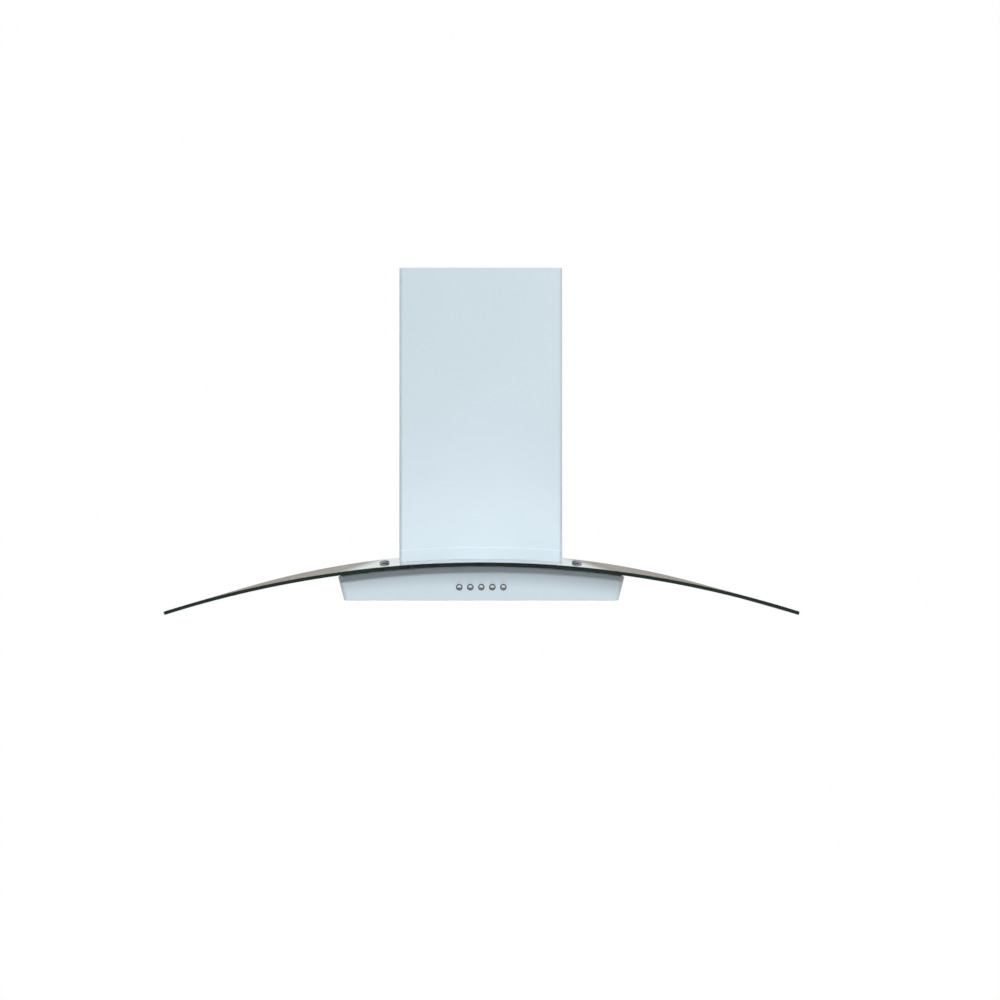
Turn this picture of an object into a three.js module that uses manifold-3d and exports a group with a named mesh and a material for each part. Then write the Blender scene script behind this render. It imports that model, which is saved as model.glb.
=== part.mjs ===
// A wall-hung chimney cooker hood with a curved glass canopy, in millimetres.
// X runs across the hood, +Y goes into the wall and +Z is up. The origin lies on the wall
// plane, on the centre line, level with the top of the glass at its apex.
import * as THREE from "three";
import { mergeVertices } from "three/addons/utils/BufferGeometryUtils.js";
import Module from "manifold-3d";

const wasm = await Module();
wasm.setup();

// ---------- Driving dimensions ----------

const gap = 0.3; // between pieces that touch
const roundSteps = 16; // sides of a small round piece
const wideRoundSteps = 28; // sides of a duct, inlet or impeller
const archSteps = 14; // half the steps of an arched strip
const over = 1; // how far a cut runs past the face it opens

// Glass canopy: a tempered pane, arched across the hood and straight from wall to front.
const canopyWidth = 900;
const canopyDepth = 450;
const canopyDrop = 70;
const canopyThickness = 5;
const canopyCorner = 8;
const canopyWallGap = 2;
const notchGap = 3; // glass to blower casing

// Body: a shallow folded tray under the glass, its sides leaning out towards the top.
const bodyWidth = 400; // at the underside
const bodyDepth = 395;
const bodyUnderside = -57.5;
const bodyFlare = 0.26; // lean of the sides, mm outward for each mm up
const bodyCorner = 8;
const bodySheet = 1.2;
const lipWidth = 10;
const deckRearStrip = 6;

const sealThickness = 2;
const sealWidth = 12;
const sealInset = 4;

// Chimney: a three-sided painted cover on the glass, with a slightly smaller one telescoped inside it.
const chimneyWidth = 250;
const chimneyDepth = 300;
const chimneyTop = 446;
const chimneyCorner = 3;
const chimneySheet = 1;
const footHeight = 18;
const tongueAbove = 14;
const tongueBelow = 6;
const telescopeGap = 1;
const upperBottom = 60;
const upperFromTop = 5; // inner cover's top below the outer's
const upperSheet = 0.8;

// Blower casing: a galvanised box round the fan, flanged under the deck.
const casingFromSide = 21; // chimney's side to the casing's
const casingFromFront = 15;
const casingTop = 262;
const casingBottom = -16;
const casingSheet = 1;
const casingFlange = 18;
const keyholeFromSide = 24;
const keyholeZ = 225;
const keyholeRadius = 5;
const keyholeSlotRadius = 2.75;
const keyholeSlotRise = 12;

// Fan: a scroll with two inlets, its axis across the hood and its mouth upward.
const fanY = -150;
const fanZ = 125;
const scrollHalf = 58;
const scrollSheet = 1.2;
const scrollTongueAngle = THREE.MathUtils.degToRad(105);
const scrollTongueRadius = 83;
const scrollOutletRadius = 98;
const scrollInletRadius = 58;
const scrollFoot = 10;
const scrollSteps = 20;
const impellerRadius = 70;
const impellerInnerRadius = 60;
const impellerHalf = 52;
const bladeCount = 20;
const bladeThickness = 1.2;
const bladeLean = THREE.MathUtils.degToRad(35);
const ringWidth = 2;
const discThickness = 2;
const hubRadius = 10;
const shaftRadius = 4;
const motorRadius = 42;
const motorLength = 60;
const motorFromDisc = 6;
const motorBoss = 21; // radius of the bearing boss
const motorBossHeight = 4;
const motorRim = 4;
const bracketSheet = 1.5;
const bracketRing = 4;
const bracketArm = 10;
const bracketHold = 8; // arm on the scroll's side

// Outlet: a round collar for a 150 mm duct, with two back-draught flaps, each on its own pin.
const collarY = -112;
const collarRadius = 75;
const collarSheet = 1.2;
const collarHeight = 42;
const collarFlange = 20;
const flapLevel = 12;
const flapThickness = 1.2;
const flapLedge = 5;
const flapEdge = 0.8;
const pinRadius = 1.2;
const pinOffset = 3; // from the collar's middle
const knuckleRadius = 2.4;

// Controls: five sprung push buttons through the front.
const buttonPitch = 16;
const buttonLevel = -38;
const buttonRadius = 4.5;
const buttonProud = 3.4;
const buttonTravel = 3;
const buttonSkirt = 10;
const buttonHole = 0.7;
const buttonRim = 1.2; // height of its straight edge
const buttonStop = 1; // room left behind a pressed button
const plungerRadius = 3;
const plungerLength = 12;
const switchHeight = 24;
const switchDepth = 34;
const switchMargin = 6;
const buttonNames = ["button_lamp", "button_off", "button_low", "button_medium", "button_high"];

// Underside: a panel carrying two filters and two lamps.
const panelSheet = 1.2;
const filterWidth = 160;
const filterDepth = 236;
const filterThickness = 9;
const filterFrameWidth = 12;
const filterFromWall = 52;
const filterFromCentre = 7;
const filterClearance = 0.6;
const meshThickness = 6;
const meshSeat = 3;
const frameLedge = 1;
const tabWidth = 16;
const tabReach = 5;
const tabThickness = 1;
const handleWidth = 62;
const handleDrop = 7.5; // hidden behind the body's bottom edge from in front
const handleBar = 2;
const handleDepth = 9;
const handleChamfer = 2;
const clipWidth = 20;
const clipLength = 12;
const clipSheet = 0.8;
const clipHeight = 7;
const lampX = 140;
const lampFromFront = 55;
const lampRadius = 29;
const lampWall = 1.2;
const lampFlange = 5;
const lampHeight = 26;
const lensThickness = 2.4;
const lensSeat = 2;
const bulbRadius = 18;
const bulbHeight = 7;
const bulbRim = 2;
const bulbRoom = 4;
const controlWidth = 124;
const controlDepth = 44;
const controlHeight = 30;
const controlWall = 2;
const controlFromSwitches = 10;
const boardThickness = 1.6;
const relayCount = 4;
const relayWidth = 14;
const relayDepth = 20;
const relayHeight = 15;

// Fixings.
const capFromChimney = 25;
const capFromFront = 35; // behind the chimney's front
const capRadius = 8;
const capHeight = 5;
const capRim = 2; // height of its straight edge
const studRadius = 3;
const nutHeight = 4;
const nutRadius = 5;
const holeGap = 0.5;
const clampFromCasing = 11.5;
const clampFromWall = 40;
const clampFromFront = 30; // behind the casing's front
const sideScrewFromFront = 80; // behind the chimney's front
const sideScrewZ = 1;
const sideScrewHead = 3.2;
const sideScrewRadius = 1.5;
const sideScrewCrown = 2.3;
const sideScrewTail = 3;
const tieBracketDepth = 20;
const tieBracketSheet = 1.2;
const tieBracketHeight = 22;
const upperBracketFromTop = 10; // below the inner cover's top
const upperBracketHeight = 26;
const upperBracketDepth = 30;
const upperBracketSheet = 1.5;
const upperBracketHoleX = 72;
const capacitorFromSide = 6;
const capacitorZ = 34;
const capacitorRadius = 17;
const capacitorLength = 58;
const glandFromSide = 26;
const glandY = -34;
const glandRadius = 12;
const glandNeck = 7.8;
const glandBore = 4;
const glandNut = 8;
const glandHeight = 20;
const glandTail = 8;

// ---------- Levels worked out from them ----------

const wide = 1200; // wider and deeper than the whole hood, for cutting blocks
const halfCanopy = canopyWidth / 2;
const archRadius = (halfCanopy ** 2 + canopyDrop ** 2) / (2 * canopyDrop);
const sealTop = canopyThickness + gap; // depths below the arched top face of the glass
const deckTop = sealTop + sealThickness + gap;
const deckBottom = deckTop + bodySheet;
const bodyFront = -bodyDepth;
const bodyInnerFront = bodyFront + bodySheet;
const halfBody = bodyWidth / 2;
const lipTop = bodyUnderside + bodySheet;
const panelBottom = lipTop + gap;
const panelTop = panelBottom + panelSheet;
const halfChimney = chimneyWidth / 2;
const halfCasing = halfChimney - casingFromSide;
const casingDepth = chimneyDepth - casingFromFront;
const innerChimney = halfChimney - chimneySheet;
const upperTop = chimneyTop - upperFromTop;
const upperBracketZ = upperTop - upperBracketFromTop - upperBracketHeight;
const casingUnderTop = casingTop - casingSheet - gap;
const mouthTop = casingUnderTop;
const flapZ = casingTop + flapLevel;
const keyholeX = halfCasing - keyholeFromSide;
const capX = halfChimney + capFromChimney;
const capY = capFromFront - chimneyDepth;
const clampX = halfCasing + clampFromCasing;
const clampYs = [-clampFromWall, clampFromFront - casingDepth];
const sideScrewY = sideScrewFromFront - chimneyDepth;
const capacitorX = halfCasing - casingSheet - capacitorFromSide - capacitorRadius;
const glandX = glandFromSide - halfCasing;
const lampY = bodyFront + lampFromFront;
const lampInner = lampRadius - lampWall;

// ---------- Making solids ----------

// A closed geometry as a solid, its faces turned outward.
function solid(geometry) {
  const bare = geometry.clone();
  bare.deleteAttribute("normal");
  bare.deleteAttribute("uv");
  const merged = mergeVertices(bare);
  const points = merged.attributes.position.array;
  const faces = Uint32Array.from(merged.index.array);
  let volume = 0;
  const corner = [new THREE.Vector3(), new THREE.Vector3(), new THREE.Vector3()];
  for (let i = 0; i < faces.length; i += 3) {
    corner.forEach((v, k) => v.fromArray(points, faces[i + k] * 3));
    volume += corner[0].dot(corner[1].clone().cross(corner[2]));
  }
  for (let i = 0; volume < 0 && i < faces.length; i += 3) {
    [faces[i], faces[i + 1]] = [faces[i + 1], faces[i]];
  }
  const mesh = { numProp: 3, vertProperties: new Float32Array(points), triVerts: faces };
  return new wasm.Manifold(new wasm.Mesh(mesh));
}

function geometryOf(manifold) {
  const mesh = manifold.getMesh();
  const geometry = new THREE.BufferGeometry();
  geometry.setAttribute("position", new THREE.BufferAttribute(new Float32Array(mesh.vertProperties), 3));
  geometry.setIndex(new THREE.BufferAttribute(new Uint32Array(mesh.triVerts), 1));
  geometry.computeVertexNormals();
  return geometry;
}

const cut = (body, ...tools) => tools.reduce((left, tool) => left.subtract(tool), body);
const join = (body, ...others) => others.reduce((whole, other) => whole.add(other), body);

function extrude(shape, depth, steps) {
  return new THREE.ExtrudeGeometry(shape, { depth, curveSegments: steps, bevelEnabled: false });
}

// A plan outline (x, y) raised from one level to another.
function upright(shape, bottom, top, steps = 6) {
  return solid(extrude(shape, top - bottom, steps).translate(0, 0, bottom));
}

// A front outline (x, z) drawn out between two distances from the wall.
function lengthwise(shape, front, back, steps = archSteps) {
  return solid(extrude(shape, back - front, steps).rotateX(Math.PI / 2).translate(0, back, 0));
}

// A side outline (y, z) drawn out across the hood.
function crosswise(shape, left, right, steps = 12) {
  const stood = extrude(shape, right - left, steps).rotateX(Math.PI / 2).rotateZ(Math.PI / 2);
  return solid(stood.translate(left, 0, 0));
}

function block(x0, x1, y0, y1, z0, z1) {
  const geometry = new THREE.BoxGeometry(x1 - x0, y1 - y0, z1 - z0);
  return solid(geometry.translate((x0 + x1) / 2, (y0 + y1) / 2, (z0 + z1) / 2));
}

// A turned piece: its profile lists [radius, height] from the axis back to the axis.
function turned(profile, steps = roundSteps) {
  return new THREE.LatheGeometry(profile.map(([r, h]) => new THREE.Vector2(r, h)), steps);
}

function turnedUp(profile, x, y, steps) {
  return solid(turned(profile, steps).rotateX(Math.PI / 2).translate(x, y, 0));
}

function turnedIn(profile, x, z, steps) {
  return solid(turned(profile, steps).translate(x, 0, z));
}

function turnedAcross(profile, y, z, steps) {
  return solid(turned(profile, steps).rotateZ(-Math.PI / 2).translate(0, y, z));
}

const bar = (radius, from, to) => [[0, from], [radius, from], [radius, to], [0, to]];
const tube = (inner, outer, from, to) =>
  [[inner, from], [outer, from], [outer, to], [inner, to], [inner, from]];

// A domed end of a turned piece, from its rim at one height to its crown on the axis at another.
function domed(radius, rim, crown, steps) {
  const profile = [];
  for (let k = 0; k < steps; k++) {
    const angle = (k / steps) * (Math.PI / 2);
    profile.push([radius * Math.cos(angle), rim + (crown - rim) * Math.sin(angle)]);
  }
  return [...profile, [0, crown]];
}

function polygon(points) {
  return new THREE.Shape(points.map(([x, y]) => new THREE.Vector2(x, y)));
}

const rectangle = (x0, x1, y0, y1) => polygon([[x0, y0], [x1, y0], [x1, y1], [x0, y1]]);

// A plan outline from `back` to `front` with its two front corners rounded.
function frontRounded(half, front, back, radius) {
  const shape = new THREE.Shape();
  shape.moveTo(half, back);
  shape.lineTo(-half, back);
  shape.lineTo(-half, front + radius);
  shape.absarc(-half + radius, front + radius, radius, Math.PI, 1.5 * Math.PI, false);
  shape.lineTo(half - radius, front);
  shape.absarc(half - radius, front + radius, radius, 1.5 * Math.PI, 2 * Math.PI, false);
  return shape;
}

// ---------- The arch that the glass, seal, deck and chimney foot all follow ----------

const archHeight = (x, below = 0) => Math.sqrt((archRadius - below) ** 2 - x ** 2) - archRadius;
const archReach = halfCanopy * 0.9; // half the width that the blocks below cover

// A strip between two depths below the canopy's top face, with square-cut ends.
function archedStrip(top, bottom, halfWidth) {
  const spread = Math.asin(halfWidth / archRadius);
  const shape = new THREE.Shape();
  shape.absarc(0, -archRadius, archRadius - top, Math.PI / 2 + spread, Math.PI / 2 - spread, true);
  shape.absarc(0, -archRadius, archRadius - bottom, Math.PI / 2 - spread, Math.PI / 2 + spread, false);
  return shape;
}

// Everything under, or over, the arch at one depth below the canopy's top face.
function archBlock(below, side) {
  const spread = Math.asin(archReach / archRadius);
  const shape = new THREE.Shape();
  shape.absarc(0, -archRadius, archRadius - below, Math.PI / 2 + spread, Math.PI / 2 - spread, true);
  shape.lineTo(archReach, side * wide);
  shape.lineTo(-archReach, side * wide);
  return lengthwise(shape, -wide, wide);
}

const underArch = (below) => archBlock(below, -1);
const overArch = (below) => archBlock(below, 1);

// A turned piece stood square on the arch: heights count from the canopy's top face.
function onArch(profile, x, y) {
  const stood = turned(profile).rotateX(Math.PI / 2).translate(0, 0, archRadius);
  return solid(stood.rotateY(Math.asin(x / archRadius)).translate(0, y, -archRadius));
}

// ---------- Materials ----------

const finishes = {
  paint: ["#dde8ef", 0.28, 0.0],
  glass: ["#b9cfc8", 0.05, 0.0],
  chrome: ["#d9dde0", 0.12, 1.0],
  rubber: ["#33383a", 0.85, 0.0],
  galvanised: ["#aeb4b6", 0.45, 0.9],
  aluminium: ["#c4c8ca", 0.4, 0.9],
  steel: ["#9da2a5", 0.35, 1.0],
  plastic: ["#2f3335", 0.6, 0.0],
  whitePlastic: ["#e4e6e4", 0.5, 0.0],
  lens: ["#eef2f2", 0.15, 0.0],
  board: ["#2f5a3c", 0.6, 0.0],
};

const hood = new THREE.Group();

function add(name, shape, finish) {
  const [color, roughness, metalness] = finishes[finish];
  const material = new THREE.MeshStandardMaterial({ color, roughness, metalness });
  const mesh = new THREE.Mesh(geometryOf(shape), material);
  mesh.name = name;
  hood.add(mesh);
}

const sides = [["left", -1], ["right", 1]];

// ---------- Glass, seal and fixings ----------

const fixingHoles = (radius) => sides.flatMap(([, side]) => [
  onArch(bar(radius, bodyUnderside, -bodyUnderside), side * capX, capY),
  ...clampYs.map((y) => onArch(bar(radius, bodyUnderside, -bodyUnderside), side * clampX, y)),
]);

function glassCanopy() {
  const pane = lengthwise(archedStrip(0, canopyThickness, halfCanopy), -canopyDepth, -canopyWallGap);
  const plan = upright(frontRounded(halfCanopy, -canopyDepth, 0, canopyCorner), -wide, wide);
  const notch = block(
    -halfCasing - notchGap, halfCasing + notchGap, -casingDepth - notchGap, wide, -wide, wide,
  );
  return cut(pane.intersect(plan), notch, ...fixingHoles(studRadius + holeGap));
}

function glassSeal() {
  const half = halfBody - sealInset;
  const outer = frontRounded(half, bodyFront + sealInset, -sealInset, bodyCorner);
  const inner = rectangle(-half + sealWidth, half - sealWidth, bodyFront + sealInset + sealWidth, wide);
  const band = underArch(sealTop).intersect(overArch(sealTop + sealThickness));
  return cut(upright(outer, -wide, wide).intersect(band), upright(inner, -wide, wide));
}

function glassFixing(side) {
  const under = -deckBottom - gap;
  const cap = [
    [0, under - nutHeight], [nutRadius, under - nutHeight], [nutRadius, under], [studRadius, under],
    [studRadius, gap], [capRadius, gap], ...domed(capRadius, capRim, capHeight, 3),
  ];
  return onArch(cap, side * capX, capY);
}

function fixingGrommet(side) {
  const ring = tube(studRadius + gap, capRadius, -deckTop + gap, -canopyThickness - gap);
  return onArch(ring, side * capX, capY);
}

function clampBolt(side, y) {
  const under = -deckBottom - gap - casingSheet - gap;
  const bolt = [
    [0, under - nutHeight], [nutRadius, under - nutHeight], [nutRadius, under], [studRadius, under],
    [studRadius, gap], [nutRadius, gap], [nutRadius, nutHeight], [0, nutHeight],
  ];
  return onArch(bolt, side * clampX, y);
}

// ---------- Body ----------

// Leans the sides of an upright solid: its widths are true at the underside.
function flared(shape, bottom, top, half) {
  const geometry = extrude(shape, top - bottom, 5).translate(0, 0, bottom);
  const place = geometry.attributes.position;
  for (let i = 0; i < place.count; i++) {
    const lean = (bodyFlare * (place.getZ(i) - bodyUnderside)) / half;
    place.setX(i, place.getX(i) * (1 + lean));
  }
  return solid(geometry);
}

const buttonX = (i) => (i - (buttonNames.length - 1) / 2) * buttonPitch;

function bodyShell() {
  const tallest = -deckTop / 2;
  const chamber = (bodyUnderside - deckBottom) / 2;
  const innerHalf = halfBody - bodySheet;
  const plan = frontRounded(halfBody, bodyFront, 0, bodyCorner);
  const outer = flared(plan, bodyUnderside, tallest, halfBody);
  const innerPlan = frontRounded(innerHalf, bodyInnerFront, -bodySheet, bodyCorner - bodySheet);
  const inner = flared(innerPlan, lipTop, tallest, innerHalf).intersect(underArch(deckBottom));
  const lipHalf = halfBody - lipWidth;
  const lipOpening = block(
    -lipHalf, lipHalf, bodyFront + lipWidth, -lipWidth, bodyUnderside - over, lipTop + over,
  );
  const duct = block(
    -halfCasing - gap, halfCasing + gap, -casingDepth - gap, -deckRearStrip, chamber, tallest + over,
  );
  const buttonBore = bar(buttonRadius + buttonHole, bodyFront - over, bodyInnerFront + over);
  const buttons = buttonNames.map((_, i) => turnedIn(buttonBore, buttonX(i), buttonLevel));
  const holes = [lipOpening, duct, ...buttons, ...fixingHoles(studRadius + gap)];
  return cut(outer.intersect(underArch(deckTop)), inner, ...holes);
}

// ---------- Chimney ----------

// The inside, or outside, of a three-sided cover set in from the chimney's faces.
function coverBlock(inset, bottom, top) {
  const radius = Math.max(chimneyCorner - inset, chimneySheet / 2);
  const back = inset > 0 ? wide : 0;
  return upright(frontRounded(halfChimney - inset, -chimneyDepth + inset, back, radius), bottom, top);
}

// A three-sided sheet cover between two insets.
function cover(inset, sheet, bottom, top) {
  const shell = cut(coverBlock(inset, bottom, top), coverBlock(inset + sheet, bottom - over, top + over));
  return inset > 0 ? shell.intersect(block(-wide, wide, -wide, 0, -wide, wide)) : shell;
}

function lowerChimney() {
  return cover(0, chimneySheet, -canopyDrop, chimneyTop).intersect(overArch(-footHeight - gap));
}

function sideScrewHole(side, radius) {
  const across = turnedAcross(bar(radius, -halfChimney - over, halfChimney + over), sideScrewY, sideScrewZ);
  return across.intersect(block(...(side < 0 ? [-wide, 0] : [0, wide]), -wide, wide, -wide, wide));
}

function chimneyFoot() {
  const skin = cover(0, chimneySheet, -canopyDrop, footHeight).intersect(overArch(-gap));
  const flush = skin.intersect(underArch(-footHeight));
  const ceiling = footHeight + tongueAbove;
  const inset = chimneySheet - gap / 2;
  const tongue = cover(inset + gap, chimneySheet - gap, -canopyDrop, ceiling)
    .intersect(overArch(-footHeight + tongueBelow))
    .intersect(underArch(-ceiling));
  const weld = cover(chimneySheet / 2, chimneySheet, -canopyDrop, footHeight)
    .intersect(overArch(-footHeight + tongueBelow))
    .intersect(underArch(-footHeight + gap));
  const holes = sides.map(([, side]) => sideScrewHole(side, sideScrewRadius + gap));
  return cut(join(flush, tongue, weld), ...holes);
}

function upperChimney() {
  return cover(chimneySheet + telescopeGap, upperSheet, upperBottom, upperTop);
}

function upperBracket() {
  const half = innerChimney - telescopeGap - upperSheet - gap;
  const top = upperBracketZ + upperBracketHeight;
  const outer = block(-half, half, -upperBracketDepth, 0, upperBracketZ, top);
  const inner = half - upperBracketSheet;
  const hollow = block(-inner, inner, -wide, -upperBracketSheet, upperBracketZ - over, top + over);
  const middle = upperBracketZ + upperBracketHeight / 2;
  const hole = (x) => turnedIn(bar(studRadius, -upperBracketSheet - over, over), x, middle, 12);
  return cut(outer, hollow, hole(-upperBracketHoleX), hole(upperBracketHoleX));
}

function chimneyScrew(side) {
  const reach = innerChimney - gap * 2 - tieBracketSheet - sideScrewTail;
  const seat = halfChimney + gap;
  const screw = [
    [0, reach], [sideScrewRadius, reach], [sideScrewRadius, seat], [sideScrewHead, seat],
    ...domed(sideScrewHead, seat + sideScrewCrown / 3, seat + sideScrewCrown, 2),
  ];
  const placed = screw.map(([r, h]) => [r, side * h]);
  return turnedAcross(placed, sideScrewY, sideScrewZ, 12);
}

// A cranked strip from the casing's side out to the chimney's foot.
function tieBracket(side) {
  const inner = halfCasing + gap;
  const outer = innerChimney - gap * 2;
  const level = -canopyThickness / 2;
  const t = tieBracketSheet;
  const tip = archHeight(halfChimney) + footHeight - tongueBelow - gap * 2;
  const outline = polygon([
    [inner, level], [outer, level], [outer, tip], [outer - t, tip], [outer - t, level + t],
    [inner + t, level + t], [inner + t, level + tieBracketHeight], [inner, level + tieBracketHeight],
  ].map(([x, z]) => [side * x, z]));
  const half = tieBracketDepth / 2;
  const strip = lengthwise(outline, sideScrewY - half, sideScrewY + half);
  const standing = block(-wide, wide, -wide, wide, level + t, wide);
  return cut(strip, sideScrewHole(side, sideScrewRadius + gap).intersect(standing));
}

// ---------- Blower casing ----------

function keyhole(x) {
  const back = -casingSheet - over;
  const round = turnedIn(bar(keyholeRadius, back, over), x, keyholeZ);
  const top = keyholeZ + keyholeSlotRise;
  const slot = block(x - keyholeSlotRadius, x + keyholeSlotRadius, back, over, keyholeZ, top);
  return join(round, slot, turnedIn(bar(keyholeSlotRadius, back, over), x, top));
}

// The walls: one sheet folded round the casing's two sides and its front.
function blowerCasing() {
  const inner = halfCasing - casingSheet;
  const box = block(-halfCasing, halfCasing, -casingDepth, 0, casingBottom, casingUnderTop);
  const hollow = block(-inner, inner, -casingDepth + casingSheet, wide, -wide, wide);
  const overDeck = block(-wide, wide, -deckRearStrip - gap, wide, -wide, -deckTop + gap);
  const stud = bar(studRadius + gap, -casingDepth - over, -casingDepth + casingSheet + over);
  return cut(box, hollow, overDeck, turnedIn(stud, capacitorX, capacitorZ));
}

// The back, which hooks over two wall screws.
function casingBack() {
  const half = halfCasing - casingSheet - gap;
  const plate = block(-half, half, -casingSheet, 0, -deckTop + gap, casingUnderTop);
  return cut(plate, keyhole(-keyholeX), keyhole(keyholeX));
}

function casingLid() {
  const low = casingTop - casingSheet;
  const through = (radius) => bar(radius, low - over, casingTop + over);
  return cut(
    block(-halfCasing, halfCasing, -casingDepth, 0, low, casingTop),
    turnedUp(through(collarRadius - collarSheet), 0, collarY, wideRoundSteps),
    turnedUp(through(glandNeck + gap), glandX, glandY),
  );
}

// A frame round the walls' foot, bent to the arch and clamped up under the deck.
function casingFrame() {
  const out = halfCasing + casingFlange;
  const rim = block(-out, out, -casingDepth - casingFlange, -deckRearStrip - gap * 4, -wide, wide);
  const top = deckBottom + gap;
  const band = underArch(top).intersect(overArch(top + casingSheet));
  const walls = block(-halfCasing - gap, halfCasing + gap, -casingDepth - gap, wide, -wide, wide);
  return cut(rim.intersect(band), walls, ...fixingHoles(studRadius + gap));
}

// Each half of the damper hangs on a pin of its own: `side` is -1 for the front and 1 for the rear.
const flapAxis = (side) => collarY + side * pinOffset;

function ductCollar() {
  const base = casingTop + gap;
  const half = collarRadius + collarFlange;
  const inner = collarRadius - collarSheet;
  const front = Math.max(collarY - half, -casingDepth + over);
  const back = Math.min(collarY + half, -over);
  const throughPlate = (radius) => bar(radius, base - over, base + collarSheet + over);
  const round = (profile) => turnedUp(profile, 0, collarY, wideRoundSteps);
  const plate = cut(
    block(-half, half, front, back, base, base + collarSheet),
    round(throughPlate(inner)),
    turnedUp(throughPlate(glandRadius + gap * 2), glandX, glandY),
  );
  const ledgeTop = flapZ - flapThickness / 2 - gap;
  const spigot = round(tube(inner, collarRadius, base, casingTop + collarHeight));
  const ledge = round(tube(inner - flapLedge, inner + collarSheet / 2, ledgeTop - collarSheet, ledgeTop));
  const pinBore = bar(pinRadius + gap, -collarRadius - over, collarRadius + over);
  const pinHoles = [-1, 1].map((side) => turnedAcross(pinBore, flapAxis(side), flapZ, 12));
  return cut(join(plate, spigot, ledge), ...pinHoles);
}

function damperPin(side) {
  return turnedAcross(bar(pinRadius, -collarRadius, collarRadius), flapAxis(side), flapZ, 12);
}

function damperFlap(side) {
  const radius = collarRadius - collarSheet - flapEdge;
  const low = flapZ - flapThickness / 2;
  const disc = turnedUp(bar(radius, low, low + flapThickness), 0, collarY, wideRoundSteps);
  const near = side > 0 ? [flapAxis(side), wide] : [-wide, flapAxis(side)];
  const half = disc.intersect(block(-wide, wide, ...near, -wide, wide));
  const reach = radius - flapLedge;
  const knuckle = turnedAcross(bar(knuckleRadius, -reach, reach), flapAxis(side), flapZ, 12);
  const bore = turnedAcross(bar(pinRadius + gap, -collarRadius, collarRadius), flapAxis(side), flapZ, 12);
  return cut(join(half, knuckle), bore);
}

// ---------- Fan ----------

// The scroll's side outline, `offset` outside its air space, from one lip of the mouth to the other.
function scrollEdge(offset) {
  const tongueY = fanY + scrollTongueRadius * Math.cos(scrollTongueAngle) - offset;
  const start = scrollTongueRadius + offset;
  const points = [[tongueY, mouthTop], [tongueY, fanZ + Math.sqrt(start ** 2 - (tongueY - fanY) ** 2)]];
  for (let i = 1; i <= scrollSteps; i++) {
    const share = i / scrollSteps;
    const angle = scrollTongueAngle + share * (2 * Math.PI - scrollTongueAngle);
    const radius = start + share * (scrollOutletRadius - scrollTongueRadius);
    points.push([fanY + radius * Math.cos(angle), fanZ + radius * Math.sin(angle)]);
  }
  points.push([fanY + scrollOutletRadius + offset, mouthTop]);
  return points;
}

function scrollWrapper() {
  const band = polygon([...scrollEdge(0), ...scrollEdge(scrollSheet).reverse()]);
  return crosswise(band, -scrollHalf, scrollHalf);
}

function scrollSide(side) {
  const near = scrollHalf + gap;
  const far = near + scrollSheet;
  const [left, right] = side < 0 ? [-far, -near] : [near, far];
  const plate = crosswise(polygon(scrollEdge(scrollSheet)), left, right);
  const inlet = turnedAcross(bar(scrollInletRadius, left - over, right + over), fanY, fanZ, wideRoundSteps);
  const front = fanY + scrollTongueRadius * Math.cos(scrollTongueAngle);
  const [footLeft, footRight] = side < 0 ? [-far - scrollFoot, -near] : [near, far + scrollFoot];
  const foot = block(footLeft, footRight, front, fanY + scrollOutletRadius, mouthTop - scrollSheet, mouthTop);
  return join(cut(plate, inlet), foot);
}

function impeller() {
  const depth = impellerRadius - impellerInnerRadius;
  const middle = (impellerRadius + impellerInnerRadius) / 2;
  const onAxis = (profile, steps) => turnedAcross(profile, fanY, fanZ, steps);
  const ringProfile = (from) => tube(impellerInnerRadius, impellerRadius, from, from + ringWidth);
  const ring = (from) => onAxis(ringProfile(from), wideRoundSteps);
  const disc = onAxis(bar(impellerRadius - over, -discThickness / 2, discThickness / 2), wideRoundSteps);
  const hub = onAxis(bar(hubRadius, -motorFromDisc * 2, motorFromDisc / 2));
  const blades = [];
  for (let i = 0; i < bladeCount; i++) {
    const blade = new THREE.BoxGeometry(impellerHalf * 2 - ringWidth, depth, bladeThickness);
    blade.rotateX(bladeLean).translate(0, middle, 0).rotateX((i / bladeCount) * 2 * Math.PI);
    blades.push(solid(blade.translate(0, fanY, fanZ)));
  }
  const cage = join(ring(-impellerHalf), ring(impellerHalf - ringWidth), disc, hub, ...blades);
  return cut(cage, onAxis(bar(shaftRadius + gap, -impellerHalf, impellerHalf), 12));
}

function motorShaft() {
  return turnedAcross(bar(shaftRadius, -motorFromDisc * 3, motorFromDisc + motorLength / 2), fanY, fanZ, 12);
}

function motorBody() {
  const from = motorFromDisc;
  const to = motorFromDisc + motorLength;
  const shoulder = from + motorBossHeight;
  const profile = [
    [0, from], [motorBoss, from], [motorBoss, shoulder], [motorRadius - motorRim, shoulder],
    [motorRadius, shoulder + motorRim], [motorRadius, to - motorRim], [motorRadius - motorRim, to], [0, to],
  ];
  const shaftBore = bar(shaftRadius + gap, from - over, from + motorLength / 2 + over);
  return cut(turnedAcross(profile, fanY, fanZ), turnedAcross(shaftBore, fanY, fanZ, 12));
}

// Three arms and a ring that hold the motor in the right-hand inlet.
function motorBracket() {
  const near = scrollHalf + gap * 2 + scrollSheet;
  const far = near + bracketSheet;
  const reach = scrollInletRadius + bracketHold;
  const ring = turnedAcross(tube(motorRadius + gap, motorRadius + bracketRing, near, far), fanY, fanZ);
  const root = motorRadius + bracketRing / 2;
  const arms = [0, 1, 2].map((i) => {
    const arm = new THREE.BoxGeometry(bracketSheet, reach - root, bracketArm);
    arm.translate(0, (reach + root) / 2, 0).rotateX((i / 3) * 2 * Math.PI);
    return solid(arm.translate((near + far) / 2, fanY, fanZ));
  });
  return join(ring, ...arms);
}

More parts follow.
